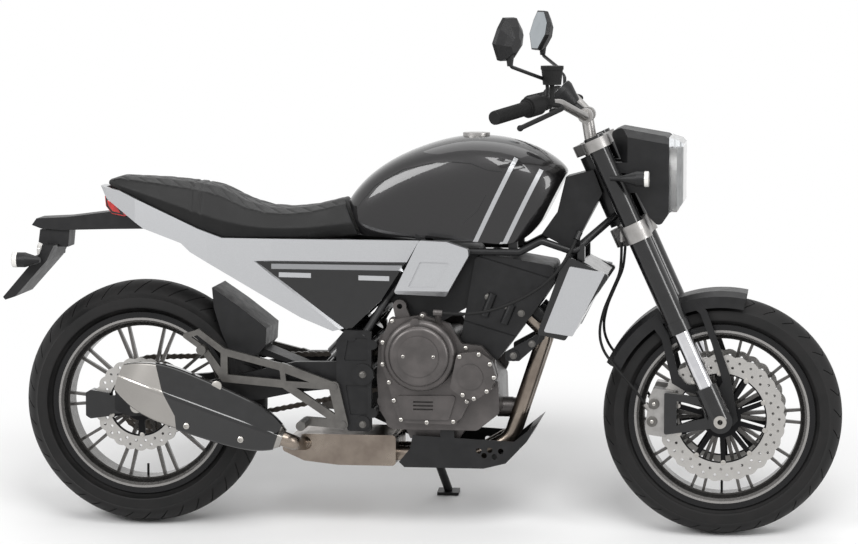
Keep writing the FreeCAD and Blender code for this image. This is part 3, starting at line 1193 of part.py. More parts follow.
right_covers.append(cross_rod(CLUTCH_X, CLUTCH_Z, -CLUTCH_FACE - BADGE_PROUD, -CLUTCH_FACE,
                              CLUTCH_BADGE_RADIUS))
arm_foot = V(CLUTCH_X + CLUTCH_RADIUS * 0.5, -flange_face, CLUTCH_Z + CLUTCH_RADIUS * 0.7)
arm_barrel = ferrule(cable_route[1], cable_route[0], COVER_FLANGE, 2 * CABLE_RADIUS)
right_covers.append(rod(arm_foot, arm_barrel.CenterOfMass, 2 * CABLE_RADIUS))
right_covers.append(arm_barrel)
right_covers.append(cross_rod(CLUTCH_X - CLUTCH_RADIUS * 0.12, CLUTCH_Z + CLUTCH_RADIUS * 0.9, -step_face,
                              -flange_near,
                              COVER_BOSS_RADIUS * 1.3))
pump_shares = [(0.676, 0.815), (0.85, 0.843), (0.951, 0.757), (0.995, 0.582), (0.951, 0.453),
               (0.824, 0.338),
               (0.721, 0.368), (0.618, 0.461)]
pump_points = place(CRANK_REAR_X, CRANK_LENGTH, CRANK_BASE_Z, CRANK_HEIGHT, pump_shares)
right_covers.append(slab(pump_points, -PUMP_FACE, -flange_near, COVER_FLANGE / 2))
right_covers.append(cross_rod(PUMP_X, PUMP_Z, -PUMP_FACE - BADGE_PROUD, -PUMP_FACE, PUMP_BADGE_RADIUS))
foot_shares = [(0.172, 0.36), (0.66, 0.37), (0.6, 0.12), (0.22, 0.12)]
foot_points = place(CRANK_REAR_X, CRANK_LENGTH, CRANK_BASE_Z, CRANK_HEIGHT, foot_shares)
right_covers.append(slab(foot_points, -flange_face - BADGE_PROUD * 2, -flange_near, COVER_FLANGE / 3))
right_cover = fuse(right_covers)
for row in range(3):
    slot_z = CRANK_BASE_Z + CRANK_HEIGHT * (0.217 + 0.038 * row)
    right_cover = right_cover.cut(Part.makeBox(COVER_SLOT, 4 * BADGE_PROUD, COVER_SLOT / 12,
                                               V(CRANK_REAR_X + CRANK_LENGTH * 0.31,
                                                 -flange_face - 3 * BADGE_PROUD,
                                                 slot_z)))
left_covers = [slab(flange_points, flange_near, flange_face, COVER_FLANGE / 2)]
left_covers += [boss.mirror(ORIGIN, UNIT_Y) for boss in cover_bosses]
left_covers.append(drum_cover(GENERATOR_X, GENERATOR_Z, flange_near, GENERATOR_FACE, GENERATOR_RADIUS, 1))
left_covers.append(cross_rod(GENERATOR_X, GENERATOR_Z, GENERATOR_FACE, GENERATOR_FACE + BADGE_PROUD,
                             CLUTCH_BADGE_RADIUS))
left_covers.append(drum_cover(SPROCKET_X + GENERATOR_RADIUS / 4, SPROCKET_Z + GENERATOR_RADIUS / 6,
                              flange_near,
                              (flange_face + GENERATOR_FACE) / 2, GENERATOR_RADIUS * 0.62, 1))
parts["engine_covers"] = Part.makeCompound([right_cover, fuse(left_covers)])

airbox_shares = [(0.0, 0.4), (0.05, 1.0), (1.15, 1.0), (1.1, 0.3), (0.6, 0.0), (0.25, 0.0)]
airbox_points = place(AIRBOX_REAR_X, AIRBOX_LENGTH, AIRBOX_BASE_Z, AIRBOX_HEIGHT, airbox_shares)
airbox = slab(airbox_points, -AIRBOX_HALF, AIRBOX_HALF, AIRBOX_HEIGHT / 12)
parts["airbox"] = airbox.cut(cylinders).cut(crankcase)

# Radiator and its two silver side plates
radiator_shares = [(0.39, 1.0), (1.0, 0.77), (0.39, 0.0), (0.0, 0.07)]
radiator_points = place(RADIATOR_REAR_X, RADIATOR_LENGTH, RADIATOR_BASE_Z, RADIATOR_HEIGHT, radiator_shares)
core_shares = [(0.62, 0.93), (0.95, 0.77), (0.48, 0.05), (0.24, 0.09)]
core_points = place(RADIATOR_REAR_X, RADIATOR_LENGTH, RADIATOR_BASE_Z, RADIATOR_HEIGHT, core_shares)
core_half = RADIATOR_HALF - SHROUD_THICK
end_frame = slab(radiator_points, -RADIATOR_HALF, -core_half, SHROUD_MARGIN / 2)
parts["radiator"] = fuse([slab(core_points, -core_half, core_half), end_frame,
                          end_frame.mirror(ORIGIN, UNIT_Y)]).cut(cylinders)
shroud_shares = [(0.46, 0.88), (0.95, 0.81), (0.5, 0.06), (0.1, 0.11)]
shroud_points = place(RADIATOR_REAR_X, RADIATOR_LENGTH, RADIATOR_BASE_Z, RADIATOR_HEIGHT, shroud_shares)
shroud = slab(shroud_points, -RADIATOR_HALF - CLEARANCE - SHROUD_THICK, -RADIATOR_HALF - CLEARANCE,
              SHROUD_MARGIN / 3)
parts["radiator_shrouds"] = both_sides(shroud)


# Frame: head tube, upper rails, spars, pivot plates, seat rails and struts

head_low = stem_level(LOWER_CLAMP_Z, LOWER_CLAMP_THICK / 2 + HEAD_TUBE_GAP)
head_high = stem_level(UPPER_CLAMP_Z, -UPPER_CLAMP_THICK / 2 - HEAD_TUBE_GAP)
gusset_shares = [(0.43, 0.90), (0.86, 0.99), (1.0, 0.70), (0.53, 0.0), (0.05, 0.19), (0.30, 0.47)]
gusset_points = place(GUSSET_REAR_X, GUSSET_LENGTH, GUSSET_BASE_Z, GUSSET_HEIGHT, gusset_shares)
frame_pieces = [rod(head_low, head_high, HEAD_TUBE_RADIUS), slab(gusset_points, -GUSSET_HALF, GUSSET_HALF)]
node_x = GUSSET_REAR_X + GUSSET_LENGTH * 0.53
node_z = GUSSET_BASE_Z - 2.0 * CLEARANCE
plate_top = PLATE_TOP_Z - PLATE_THICK
plate_shares = [(0.0, 1.0), (1.0, 1.0), (1.0, 0.0), (0.12, 0.0), (-0.3, 0.45), (-0.3, 0.9)]
plate_rear_x = PLATE_X - PLATE_WIDTH / 2
plate_points = place(plate_rear_x, PLATE_WIDTH, PLATE_BASE_Z, PLATE_TOP_Z - PLATE_BASE_Z, plate_shares)
plate_mid_y = PLATE_INNER + PLATE_THICK / 2
rail_half = RAIL_Y - SPAR_RADIUS / 2
rail_rear_x = CYLINDER_REAR_X - CYLINDER_LENGTH / 2
plate_recesses = [[(0.14, 0.93), (0.86, 0.93), (0.86, 0.70), (-0.02, 0.70)],
                  [(0.04, 0.46), (0.86, 0.46), (0.86, 0.16), (0.22, 0.16)]]
bracket_points = [(DOWNTUBE_LOW_X + 2 * BRACE_RADIUS, DOWNTUBE_LOW_Z + BRACE_RADIUS),
                  (DOWNTUBE_LOW_X, DOWNTUBE_LOW_Z + 2 * BRACE_RADIUS),
                  (ENGINE_BOLT_X - 1.5 * BRACKET_EYE, ENGINE_BOLT_Z + BRACKET_EYE * 0.6),
                  (ENGINE_BOLT_X - 1.5 * BRACKET_EYE,
                   ENGINE_BOLT_Z - BRACKET_EYE), (ENGINE_BOLT_X + BRACKET_EYE, ENGINE_BOLT_Z - BRACKET_EYE)]
for side in (-1, 1):
    downtube_y = side * DOWNTUBE_Y
    frame_pieces.append(rod(V(node_x, downtube_y, node_z - BRACE_RADIUS / 3),
                            V(DOWNTUBE_LOW_X, downtube_y, DOWNTUBE_LOW_Z),
                            BRACE_RADIUS * 0.9))
    bracket_near = downtube_y - side * BRACE_RADIUS * 0.8
    bracket_far = downtube_y + side * BRACE_RADIUS * 0.8
    frame_pieces.append(slab(bracket_points, bracket_near, bracket_far, BRACE_RADIUS / 2))
    frame_pieces.append(cross_rod(ENGINE_BOLT_X, ENGINE_BOLT_Z, bracket_near,
                                  bracket_far + side * BRACE_RADIUS / 2, BRACKET_EYE))
    frame_pieces.append(tube([
        V(head_low.x - HEAD_TUBE_RADIUS * 0.2, side * HEAD_TUBE_RADIUS * 0.8,
          head_low.z + HEAD_TUBE_RADIUS),
        V(node_x + BRACE_RADIUS, side * (RAIL_Y - BRACE_RADIUS), node_z),
        V(node_x - 8 * BRACE_RADIUS, side * (RAIL_Y - BRACE_RADIUS / 2), node_z + 3 * BRACE_RADIUS),
        V(node_x - 14 * BRACE_RADIUS, side * RAIL_Y, RAIL_Z),
        V(rail_rear_x, side * RAIL_Y, RAIL_Z)], BRACE_RADIUS, 2 * BRACE_RADIUS))
    spar = tube([
        V(CYLINDER_REAR_X, side * RAIL_Y, RAIL_Z - SPAR_RADIUS / 4),
        V(CYLINDER_REAR_X - CYLINDER_LENGTH * 0.35, side * RAIL_Y, RAIL_Z - SPAR_RADIUS / 4),
        V(CRANK_REAR_X + 2 * SPAR_RADIUS, side * rail_half, PLATE_TOP_Z + 6 * SPAR_RADIUS),
        V(PLATE_X + SPAR_RADIUS, side * plate_mid_y, plate_top)], SPAR_RADIUS * 0.75, 3 * SPAR_RADIUS)
    frame_pieces.append(spar)
    plate_near = side * PLATE_INNER
    plate_far = plate_near + side * PLATE_THICK
    plate = slab(plate_points, plate_near, plate_far, PLATE_THICK / 2)
    for recess in plate_recesses:
        recess_points = place(plate_rear_x, PLATE_WIDTH, PLATE_BASE_Z, PLATE_TOP_Z - PLATE_BASE_Z, recess)
        plate = plate.cut(slab(recess_points, plate_far - side * PLATE_THICK / 4,
                               plate_far + side * PLATE_THICK,
                               PLATE_THICK / 4))
    frame_pieces.append(plate)
    frame_pieces.append(cross_rod(PIVOT_X, PIVOT_Z, plate_near, plate_far + side * PLATE_BOSS_PROUD,
                                  PLATE_BOSS_RADIUS))
    frame_pieces.append(cross_rod(PIVOT_X, PLATE_BASE_Z + PLATE_BOSS_RADIUS * 0.8, plate_near,
                                  plate_far + side * PLATE_BOSS_PROUD, PLATE_BOSS_RADIUS * 0.66))
    seat_rail_z = SEAT_BASE_Z - SEAT_GAP - SEAT_RAIL_RADIUS
    frame_pieces.append(tube([
        V(CYLINDER_REAR_X - CYLINDER_LENGTH * 0.4, side * rail_half, RAIL_Z),
        V(tank_rear_x, side * SEAT_HALF * 0.72, seat_rail_z),
        V(seat_rear_x + SEAT_LENGTH * 0.48, side * SEAT_HALF * 0.64, seat_rail_z),
        V(seat_rear_x + SEAT_LENGTH * 0.1, side * SEAT_HALF * 0.34,
          SEAT_BASE_Z + SEAT_HEIGHT * 0.53)], SEAT_RAIL_RADIUS, 6 * SEAT_RAIL_RADIUS))
    frame_pieces.append(rod(
        V(PLATE_X - PLATE_WIDTH / 4, side * (PANEL_HALF - PANEL_SKIN - 2.5 * SEAT_RAIL_RADIUS), plate_top),
        V(seat_rear_x + SEAT_LENGTH * 0.36, side * SEAT_HALF * 0.62, seat_rail_z + SEAT_RAIL_RADIUS),
        SEAT_RAIL_RADIUS))
    for pad_share in (0.02, 0.61):
        pad_x = rail_rear_x + (node_x - rail_rear_x) * pad_share
        pad = Part.makeBox(TANK_PAD, TANK_PAD, 3 * TANK_PAD,
                           V(pad_x, side * (RAIL_Y - TANK_PAD * 0.85) - TANK_PAD / 2, RAIL_Z))
        pad = pad.cut(parts["fuel_tank"]).Solids[0]
        frame_pieces.append(pad.cut(parts["airbox"]))
outer_y = PLATE_INNER + PLATE_THICK
frame_pieces.append(cross_rod(PLATE_X - PLATE_WIDTH / 4, plate_top, -outer_y, outer_y, CROSS_RADIUS))
frame_pieces.append(cross_rod(CRANK_REAR_X - CROSS_RADIUS / 2, CRANK_BASE_Z + CRANK_HEIGHT * 0.88, -outer_y,
                              outer_y, CROSS_RADIUS))
frame_pieces.append(cross_rod(CRANK_REAR_X - CROSS_RADIUS / 2, CRANK_BASE_Z + CRANK_HEIGHT * 0.18, -outer_y,
                              outer_y, CROSS_RADIUS))
frame_pieces.append(cross_rod(SHOCK_TOP_X, SHOCK_TOP_Z, -RAIL_Y - SPAR_RADIUS, RAIL_Y + SPAR_RADIUS,
                              CROSS_RADIUS * 0.8))
frame_pieces.append(cross_rod(seat_rear_x + SEAT_LENGTH * 0.36, seat_rail_z, -SEAT_HALF * 0.62,
                              SEAT_HALF * 0.62, SEAT_RAIL_RADIUS))
frame_pieces.append(cross_rod(PIVOT_X, PIVOT_Z, -outer_y, outer_y, PIVOT_RADIUS))

# Side stand pivot: the leg swings in the plane of its deployed and stowed directions.
STAND_STOWED = V(-0.99, 0.0, -0.04)
stand_pivot = V(STAND_X, STAND_Y, STAND_Z)
foot_y = STAND_Y + STAND_REACH_Y
foot_z = (foot_y * math.sin(lean) - ground_drop) / math.cos(lean)
stand_foot = V(STAND_X + STAND_REACH_X, foot_y, foot_z)
stand_run = stand_foot - stand_pivot
stand_axis = stand_run.cross(STAND_STOWED)
stand_axis.normalize()
stand_sweep_deg = math.degrees(stand_run.getAngle(STAND_STOWED))
head_half = STAND_RADIUS + CLEARANCE * 3
boss_length = 1.6 * STAND_HEAD_RADIUS
boss_start = stand_pivot - stand_axis * (head_half + CLEARANCE + boss_length)
stand_boss = rod(boss_start, stand_pivot - stand_axis * (head_half + CLEARANCE), STAND_HEAD_RADIUS * 0.85)
stand_bolt = rod(boss_start, stand_pivot + stand_axis * (head_half + CLEARANCE + STAND_BOLT_RADIUS),
                 STAND_BOLT_RADIUS)
bolt_head = rod(stand_pivot + stand_axis * (head_half + CLEARANCE),
                stand_pivot + stand_axis * (head_half + CLEARANCE + STAND_BOLT_RADIUS), 2 * STAND_BOLT_RADIUS)
stand_lug_points = [(PLATE_X, PLATE_BASE_Z + PLATE_WIDTH * 0.5),
                    (PLATE_X + PLATE_WIDTH / 2, PLATE_BASE_Z + PLATE_WIDTH * 0.35),
                    (boss_start.x + STAND_HEAD_RADIUS, boss_start.z + STAND_HEAD_RADIUS),
                    (boss_start.x + STAND_HEAD_RADIUS, boss_start.z - STAND_HEAD_RADIUS),
                    (boss_start.x - STAND_HEAD_RADIUS, boss_start.z - STAND_HEAD_RADIUS),
                    (PLATE_X - PLATE_WIDTH * 0.3, PLATE_BASE_Z + PLATE_THICK / 4)]
lug_near = CRANK_HALF + 2 * CLEARANCE + COVER_FLANGE
stand_lug = slab(stand_lug_points, lug_near, lug_near + LUG_THICK)
frame_pieces += [stand_lug, stand_boss, stand_bolt, bolt_head]
cable_clip = ferrule(cable_route[-2], cable_route[-1], COVER_FLANGE, 2 * CABLE_RADIUS)
frame_pieces.append(cable_clip)
frame_pieces.append(rod(cable_clip.CenterOfMass, V(node_x + 2 * BRACE_RADIUS, -RAIL_Y + 2 * BRACE_RADIUS,
                                                   node_z + BRACE_RADIUS), CABLE_RADIUS * 1.5))
frame = fuse(frame_pieces)
frame = frame.cut(rod(stem_level(LOWER_CLAMP_Z, -LOWER_CLAMP_THICK),
                      stem_level(UPPER_CLAMP_Z, UPPER_CLAMP_THICK),
                      STEM_RADIUS + CLEARANCE))

stand_leg = fuse([rod(stand_pivot, stand_foot + UNIT_Z * STAND_FOOT_THICK, STAND_RADIUS),
                  rod(stand_pivot - stand_axis * head_half, stand_pivot + stand_axis * head_half,
                      STAND_HEAD_RADIUS)])
foot_plate = Part.makeBox(STAND_FOOT, STAND_FOOT * 0.7, STAND_FOOT_THICK,
                          V(-STAND_FOOT / 2, -STAND_FOOT * 0.35, 0))
foot_plate.rotate(ORIGIN, UNIT_X, LEAN_DEG)
foot_plate.translate(stand_foot)
stand_leg = fuse([stand_leg, foot_plate])
below_ground = Part.makeBox(4 * STAND_FOOT, 4 * STAND_FOOT, 4 * STAND_FOOT,
                            V(-2 * STAND_FOOT, -2 * STAND_FOOT, -4 * STAND_FOOT))
below_ground.rotate(ORIGIN, UNIT_X, LEAN_DEG)
below_ground.translate(stand_foot)
parts["side_stand"] = stand_leg.cut(below_ground).cut(rod(stand_pivot - stand_axis * 2 * head_half,
                                                          stand_pivot + stand_axis * 2 * head_half,
                                                          STAND_BOLT_RADIUS + CLEARANCE))

# Swingarm
arm_rear_x = rear_x - ARM_LENGTH_BACK
arm_length = PIVOT_X + 2.6 * PIVOT_RADIUS - arm_rear_x
arm_low_z = rear_z - 26.0 / 312.0 * REAR_RADIUS
arm_height = PIVOT_Z + 3.2 * PIVOT_RADIUS - arm_low_z
arm_shares = [(0.0, 0.1), (0.0, 0.38), (0.06, 0.46), (0.3, 0.56), (0.7, 0.98), (0.93, 1.0), (1.0, 0.86),
              (1.0, 0.7),
              (0.93, 0.58), (0.7, 0.46), (0.3, 0.08), (0.06, 0.0)]
arm_points = place(arm_rear_x, arm_length, arm_low_z, arm_height, arm_shares)
arm = slab(arm_points, -ARM_INNER - ARM_THICK, -ARM_INNER, PIVOT_RADIUS)
bridge_top_z = arm_low_z + arm_height * 0.80
bridge_height = arm_height * 0.26
bridge = Part.makeBox(arm_length * 0.16, 2 * ARM_INNER, bridge_height,
                      V(PIVOT_X - arm_length * 0.26, -ARM_INNER, bridge_top_z - bridge_height))
swingarm = fuse([arm, arm.mirror(ORIGIN, UNIT_Y), bridge])
swingarm = swingarm.cut(cross_rod(PIVOT_X, PIVOT_Z, -outer_y, outer_y, PIVOT_RADIUS + CLEARANCE))
swingarm = swingarm.cut(cross_rod(rear_x, rear_z, -outer_y, outer_y, AXLE_RADIUS + CLEARANCE))
parts["swingarm"] = swingarm
axle_half = ARM_INNER + ARM_THICK + CLEARANCE
rear_axle = fuse([cross_rod(rear_x, rear_z, -axle_half, axle_half, AXLE_RADIUS),
                  cross_rod(rear_x, rear_z, -axle_half - AXLE_RADIUS, -axle_half, AXLE_END * 0.8),
                  cross_rod(rear_x, rear_z, axle_half, axle_half + AXLE_RADIUS, AXLE_END * 0.8)])
parts["rear_axle"] = rear_axle.cut(cross_rod(rear_x, rear_z, -2 * axle_half, 2 * axle_half, AXLE_BORE))


# Chain: one loop of links round the two sprockets, waisted between its pins
def belt_line(x1, z1, r1, x2, z2, r2, count):
    """Points evenly along a belt drawn tight round two wheels, each with its outward direction."""
    gap = math.hypot(x2 - x1, z2 - z1)
    base = math.atan2(z2 - z1, x2 - x1)
    turn = math.acos((r1 - r2) / gap)
    run = gap * math.sin(turn)
    wrap_far = 2 * turn * r2
    wrap_near = 2 * (math.pi - turn) * r1
    total = 2 * run + wrap_far + wrap_near
    spots = []
    for i in range(count):
        along = total * i / count
        if along < run:
            angle = base + turn
            share = along / run
            cx, cz, r = x1 + (x2 - x1) * share, z1 + (z2 - z1) * share, r1 + (r2 - r1) * share
        elif along < run + wrap_far:
            angle = base + turn - (along - run) / r2
            cx, cz, r = x2, z2, r2
        elif along < 2 * run + wrap_far:
            angle = base - turn
            share = (along - run - wrap_far) / run
            cx, cz, r = x2 + (x1 - x2) * share, z2 + (z1 - z2) * share, r2 + (r1 - r2) * share
        else:
            angle = base - turn - (along - 2 * run - wrap_far) / r1
            cx, cz, r = x1, z1, r1
        out = V(math.cos(angle), 0, math.sin(angle))
        spots.append((V(cx, 0, cz) + out * r, out))
    return spots


chain_near = CHAIN_Y - CHAIN_WIDTH / 2
chain_far = CHAIN_Y + CHAIN_WIDTH / 2
chain_mid = CLEARANCE + CHAIN_HEIGHT / 2
chain_outer = []
chain_inner = []
for i, (spot, out) in enumerate(belt_line(rear_x, rear_z, REAR_SPROCKET_RADIUS + chain_mid, SPROCKET_X,
                                          SPROCKET_Z,
                                          SPROCKET_RADIUS + chain_mid, 2 * CHAIN_LINKS)):
    half = CHAIN_HEIGHT / 2 * (1.0 if i % 2 == 0 else CHAIN_WAIST)
    base = V(spot.x, chain_near, spot.z)
    chain_outer.append(base + out * half)
    chain_inner.append(base - out * half)
chain_faces = [Part.Face(Part.makePolygon(points + [points[0]])) for points in (chain_outer, chain_inner)]
parts["chain"] = chain_faces[0].cut(chain_faces[1]).extrude(V(0, CHAIN_WIDTH, 0))
chain_pocket = SPROCKET_RADIUS + 2 * CHAIN_HEIGHT
pocket = fuse([cross_rod(SPROCKET_X, SPROCKET_Z, chain_near - CLEARANCE * 10, 2 * CRANK_HALF, chain_pocket),
               Part.makeBox(2 * chain_pocket, 2 * CRANK_HALF, 2 * chain_pocket,
                            V(SPROCKET_X - 2 * chain_pocket, chain_near - CLEARANCE * 10,
                              SPROCKET_Z - chain_pocket))])
parts["engine_crankcase"] = crankcase.cut(pocket)
drive_sprocket = cross_rod(SPROCKET_X, SPROCKET_Z, chain_near - CLEARANCE * 10, chain_far, SPROCKET_RADIUS)
parts["engine_crankcase"] = fuse([parts["engine_crankcase"], drive_sprocket])
parts["frame"] = frame.cut(parts["engine_crankcase"])
lug_spot = V(node_x + RADIATOR_LUG, RAIL_Y - BRACE_RADIUS - RADIATOR_LUG, node_z - 2 * RADIATOR_LUG)
radiator_lug = Part.makeBox(RADIATOR_LUG, RADIATOR_LUG, 3 * RADIATOR_LUG, lug_spot)
radiator = fuse([parts["radiator"], radiator_lug, radiator_lug.mirror(ORIGIN, UNIT_Y)])
parts["radiator"] = max(radiator.cut(parts["frame"]).Solids, key=lambda solid: solid.Volume)

# Rear shock
shock_low_z = bridge_top_z + CLEARANCE
shock_top = V(SHOCK_TOP_X, 0, SHOCK_TOP_Z)
shock_low = V(SHOCK_TAIL_X, 0, shock_low_z)
shock_dir = shock_top - shock_low
shock = fuse([rod(shock_low - shock_dir * 0.12, shock_top, SHOCK_RADIUS * 0.4),
              rod(shock_low + shock_dir * 0.16, shock_low + shock_dir * 0.8, SHOCK_RADIUS)])
shock = shock.cut(bridge).cut(parts["frame"])
parts["rear_shock"] = max(shock.Solids, key=lambda s: s.Volume)

# Hugger over the front of the rear tyre
fin_shares = [(0.6, 0.965), (0.806, 0.826), (0.975, 0.697), (1.048, 0.638), (1.04, 0.5), (0.97, 0.42),
              (0.756, 0.417), (0.673, 0.61), (0.615, 0.8)]
pocket_shares = [(0.55, 0.965), (0.8, 0.802), (0.965, 0.675), (1.03, 0.62), (1.02, 0.51), (0.945, 0.425),
                 (0.9, 0.3), (0.5, 0.3)]
fin = slab(place(rear_x, REAR_RADIUS, rear_z, REAR_RADIUS, fin_shares), -HUGGER_HALF, HUGGER_HALF)
fin_hollow = HUGGER_HALF - HUGGER_SKIN
hugger = fin.cut([cross_rod(rear_x, rear_z, -fin_hollow, fin_hollow, REAR_RADIUS + HUGGER_GAP),
                  slab(place(rear_x, REAR_RADIUS, rear_z, REAR_RADIUS, pocket_shares), -fin_hollow,
                       fin_hollow)])
bridge_x = PIVOT_X - arm_length * 0.18
tongue_x = rear_x + REAR_RADIUS * 0.96
tongue_z = rear_z + REAR_RADIUS * 0.44
tongue_low = bridge_top_z + CLEARANCE
tongue_skin = 2 * HUGGER_SKIN
tongue = slab([(tongue_x - tongue_skin, tongue_z + tongue_skin),
               (tongue_x - tongue_skin / 2, tongue_z - tongue_skin),
               (bridge_x - 4 * tongue_skin, tongue_low), (bridge_x, tongue_low),
               (bridge_x, tongue_low + tongue_skin / 2), (bridge_x - 4 * tongue_skin,
                                                          tongue_low + tongue_skin / 2),
               (tongue_x + tongue_skin, tongue_z + tongue_skin)], -HUGGER_TONGUE_HALF, HUGGER_TONGUE_HALF)
parts["rear_hugger"] = fuse([hugger, tongue]).cut(parts["rear_shock"])

# Rear caliper on a bracket inside the right arm
rear_caliper_x = rear_x - REAR_DISC_RADIUS + CALIPER_HEIGHT * 0.2
bracket_y = -ARM_INNER + CLEARANCE
caliper_body = slab(place(rear_caliper_x - CALIPER_HEIGHT / 2, CALIPER_HEIGHT,
                          rear_z - REAR_CALIPER_LENGTH / 2,
                          REAR_CALIPER_LENGTH, [(0, 0.1), (0, 0.9), (0.2, 1.0), (1, 0.9), (1, 0.1),
                                                (0.2, 0)]),
                    bracket_y, bracket_y + 2 * CALIPER_REACH, CALIPER_HEIGHT / 12)
rear_slot = cross_rod(rear_x, rear_z, -REAR_DISC_Y - DISC_THICK / 2 - disc_slot_gap,
                      -REAR_DISC_Y + DISC_THICK / 2 + disc_slot_gap, REAR_DISC_RADIUS + DISC_THICK)
bracket_arm = slab([(rear_x + AXLE_END, rear_z + AXLE_END), (rear_x + AXLE_END, rear_z - AXLE_END),
                    (rear_caliper_x, rear_z - REAR_CALIPER_LENGTH / 3),
                    (rear_caliper_x, rear_z + REAR_CALIPER_LENGTH / 3)],
                   bracket_y, bracket_y + DISC_THICK)
rear_caliper = fuse([caliper_body.cut(rear_slot), bracket_arm])
parts["rear_caliper"] = rear_caliper.cut(cross_rod(rear_x, rear_z, -outer_y, 0, AXLE_RADIUS + CLEARANCE))

# Exhaust: two headers, a collector box and a link to the silencer
muffler_front = V(MUFFLER_FRONT_X, MUFFLER_FRONT_Y, MUFFLER_FRONT_Z)
muffler_rear = V(MUFFLER_REAR_X, MUFFLER_REAR_Y, MUFFLER_REAR_Z)
muffler_axis = muffler_rear - muffler_front
muffler_length = muffler_axis.Length
muffler_dir = muffler_axis * (1 / muffler_length)
muffler_shares = [(0.0, 0.34), (0.08, 0.62), (0.3, 0.9), (0.6, 1.0), (0.8, 0.95), (0.95, 0.66), (1.0, 0.5)]
muffler_section_shares = [(-0.30, 1.0), (0.45, 0.95), (0.85, 0.45), (0.85, -0.45), (0.35, -0.95),
                          (-0.50, -0.92),
                          (-1.0, 0.18)]
muffler_side = UNIT_Z.cross(muffler_dir)
muffler_side.normalize()
muffler_up = muffler_dir.cross(muffler_side)
muffler_up = muffler_up * (1 if muffler_up.z > 0 else -1)


def silencer(extra, start_share, end_share):
    """A seven-sided body along the silencer's axis, grown by an extra thickness and cut to its end shares."""
    wires = []
    for along, share in muffler_shares:
        centre = muffler_front + muffler_axis * along
        ring = []
        for across, up in muffler_section_shares:
            reach = MUFFLER_RADIUS * share + extra
            ring.append(centre + UNIT_Y * (across * reach) + muffler_up * (up * reach))
        wires.append(rounded_wire(ring, MUFFLER_EDGE))
    body = Part.makeLoft(wires, True, False)
    low = muffler_front + muffler_axis * start_share
    keep = Part.makeCylinder(3 * MUFFLER_RADIUS, muffler_length * (end_share - start_share), low,
                             muffler_dir)
    return body.common(keep)


muffler = silencer(0.0, -0.1, 1.1)
outlet = rod(muffler_rear - muffler_dir * MUFFLER_RADIUS, muffler_rear + muffler_dir, MUFFLER_RADIUS * 0.3)
parts["muffler"] = muffler.cut(outlet)
shield_edge = [(SHIELD_TOP_X, 3 * MUFFLER_REAR_Z), (SHIELD_TOP_X, SHIELD_TOP_Z),
               (SHIELD_LOW_X, SHIELD_LOW_Z),
               (SHIELD_LOW_X, -MUFFLER_REAR_Z), (MUFFLER_REAR_X - muffler_length, -MUFFLER_REAR_Z),
               (MUFFLER_REAR_X - muffler_length, 3 * MUFFLER_REAR_Z)]
shield = silencer(SHIELD_THICK + CLEARANCE, 0.03, 0.9).cut(silencer(CLEARANCE, -0.1, 1.1))
shield = shield.cut(slab(shield_edge, -2 * muffler_length, 2 * muffler_length))
half_cut = Part.makeBox(4 * muffler_length, 4 * MUFFLER_RADIUS, 4 * muffler_length,
                        V(-3 * muffler_length, MUFFLER_REAR_Y + MUFFLER_RADIUS / 3, -muffler_length))
vent = [(SHIELD_TOP_X + VENT_LENGTH, SHIELD_TOP_Z - VENT_HEIGHT),
        (SHIELD_TOP_X + 2 * VENT_LENGTH, SHIELD_TOP_Z - 1.6 * VENT_HEIGHT),
        (SHIELD_TOP_X + 1.9 * VENT_LENGTH, SHIELD_TOP_Z - 2.5 * VENT_HEIGHT),
        (SHIELD_TOP_X + VENT_LENGTH, SHIELD_TOP_Z - 2.1 * VENT_HEIGHT)]
shield = shield.cut(slab(vent, MUFFLER_FRONT_Y - 2 * MUFFLER_RADIUS - SHIELD_THICK * 9,
                         MUFFLER_REAR_Y - MUFFLER_RADIUS / 2))
parts["muffler_shield"] = max(shield.cut(half_cut).Solids, key=lambda s: s.Volume)

header_bend = 3.0 * PIPE_RADIUS
exhaust_pieces = []
pan_floor = PAN_BASE_Z + PAN_SKIN + PIPE_RADIUS * 1.1
for side in (-1, 1):
    exhaust_pieces.append(tube([
        V(CYLINDER_REAR_X + CYLINDER_LENGTH * 0.72, side * PORT_HALF_SPACING,
          cylinder_base_z + CYLINDER_HEIGHT * 0.39),
        V(RADIATOR_REAR_X + PIPE_RADIUS * 0.8, side * PORT_HALF_SPACING,
          RADIATOR_BASE_Z + PIPE_RADIUS * 0.6),
        V(PAN_REAR_X + PAN_LENGTH * 0.79, side * PORT_HALF_SPACING, PAN_BASE_Z + PAN_HEIGHT * 0.62),
        V(PAN_REAR_X + PAN_LENGTH * 0.55, side * PORT_HALF_SPACING * 0.9, pan_floor),
        V(COLLECTOR_REAR_X + COLLECTOR_LENGTH - PIPE_RADIUS, side * PORT_HALF_SPACING * 0.8, pan_floor)],
        PIPE_RADIUS, header_bend))
collector_shares = [(1.0, 1.0), (1.0, 0.0), (0.5, 0.0), (0.2, 0.12), (0.0, 0.45), (0.04, 0.8), (0.2, 1.0)]
collector_points = place(COLLECTOR_REAR_X, COLLECTOR_LENGTH, COLLECTOR_BASE_Z, COLLECTOR_HEIGHT,
                         collector_shares)
exhaust_pieces.append(slab(collector_points, -COLLECTOR_HALF, COLLECTOR_HALF, COLLECTOR_HEIGHT / 8))
exhaust_pieces.append(tube([
    V(COLLECTOR_REAR_X + COLLECTOR_LENGTH * 0.3, -COLLECTOR_HALF * 0.5,
      COLLECTOR_BASE_Z + COLLECTOR_HEIGHT * 0.6),
    V(COLLECTOR_REAR_X + COLLECTOR_LENGTH * 0.14, -COLLECTOR_HALF * 1.2,
      COLLECTOR_BASE_Z + COLLECTOR_HEIGHT * 0.75),
    muffler_front - muffler_dir * (MUFFLER_RADIUS * 0.4),
    muffler_front + muffler_dir * (MUFFLER_RADIUS * 0.3)], PIPE_RADIUS, header_bend))
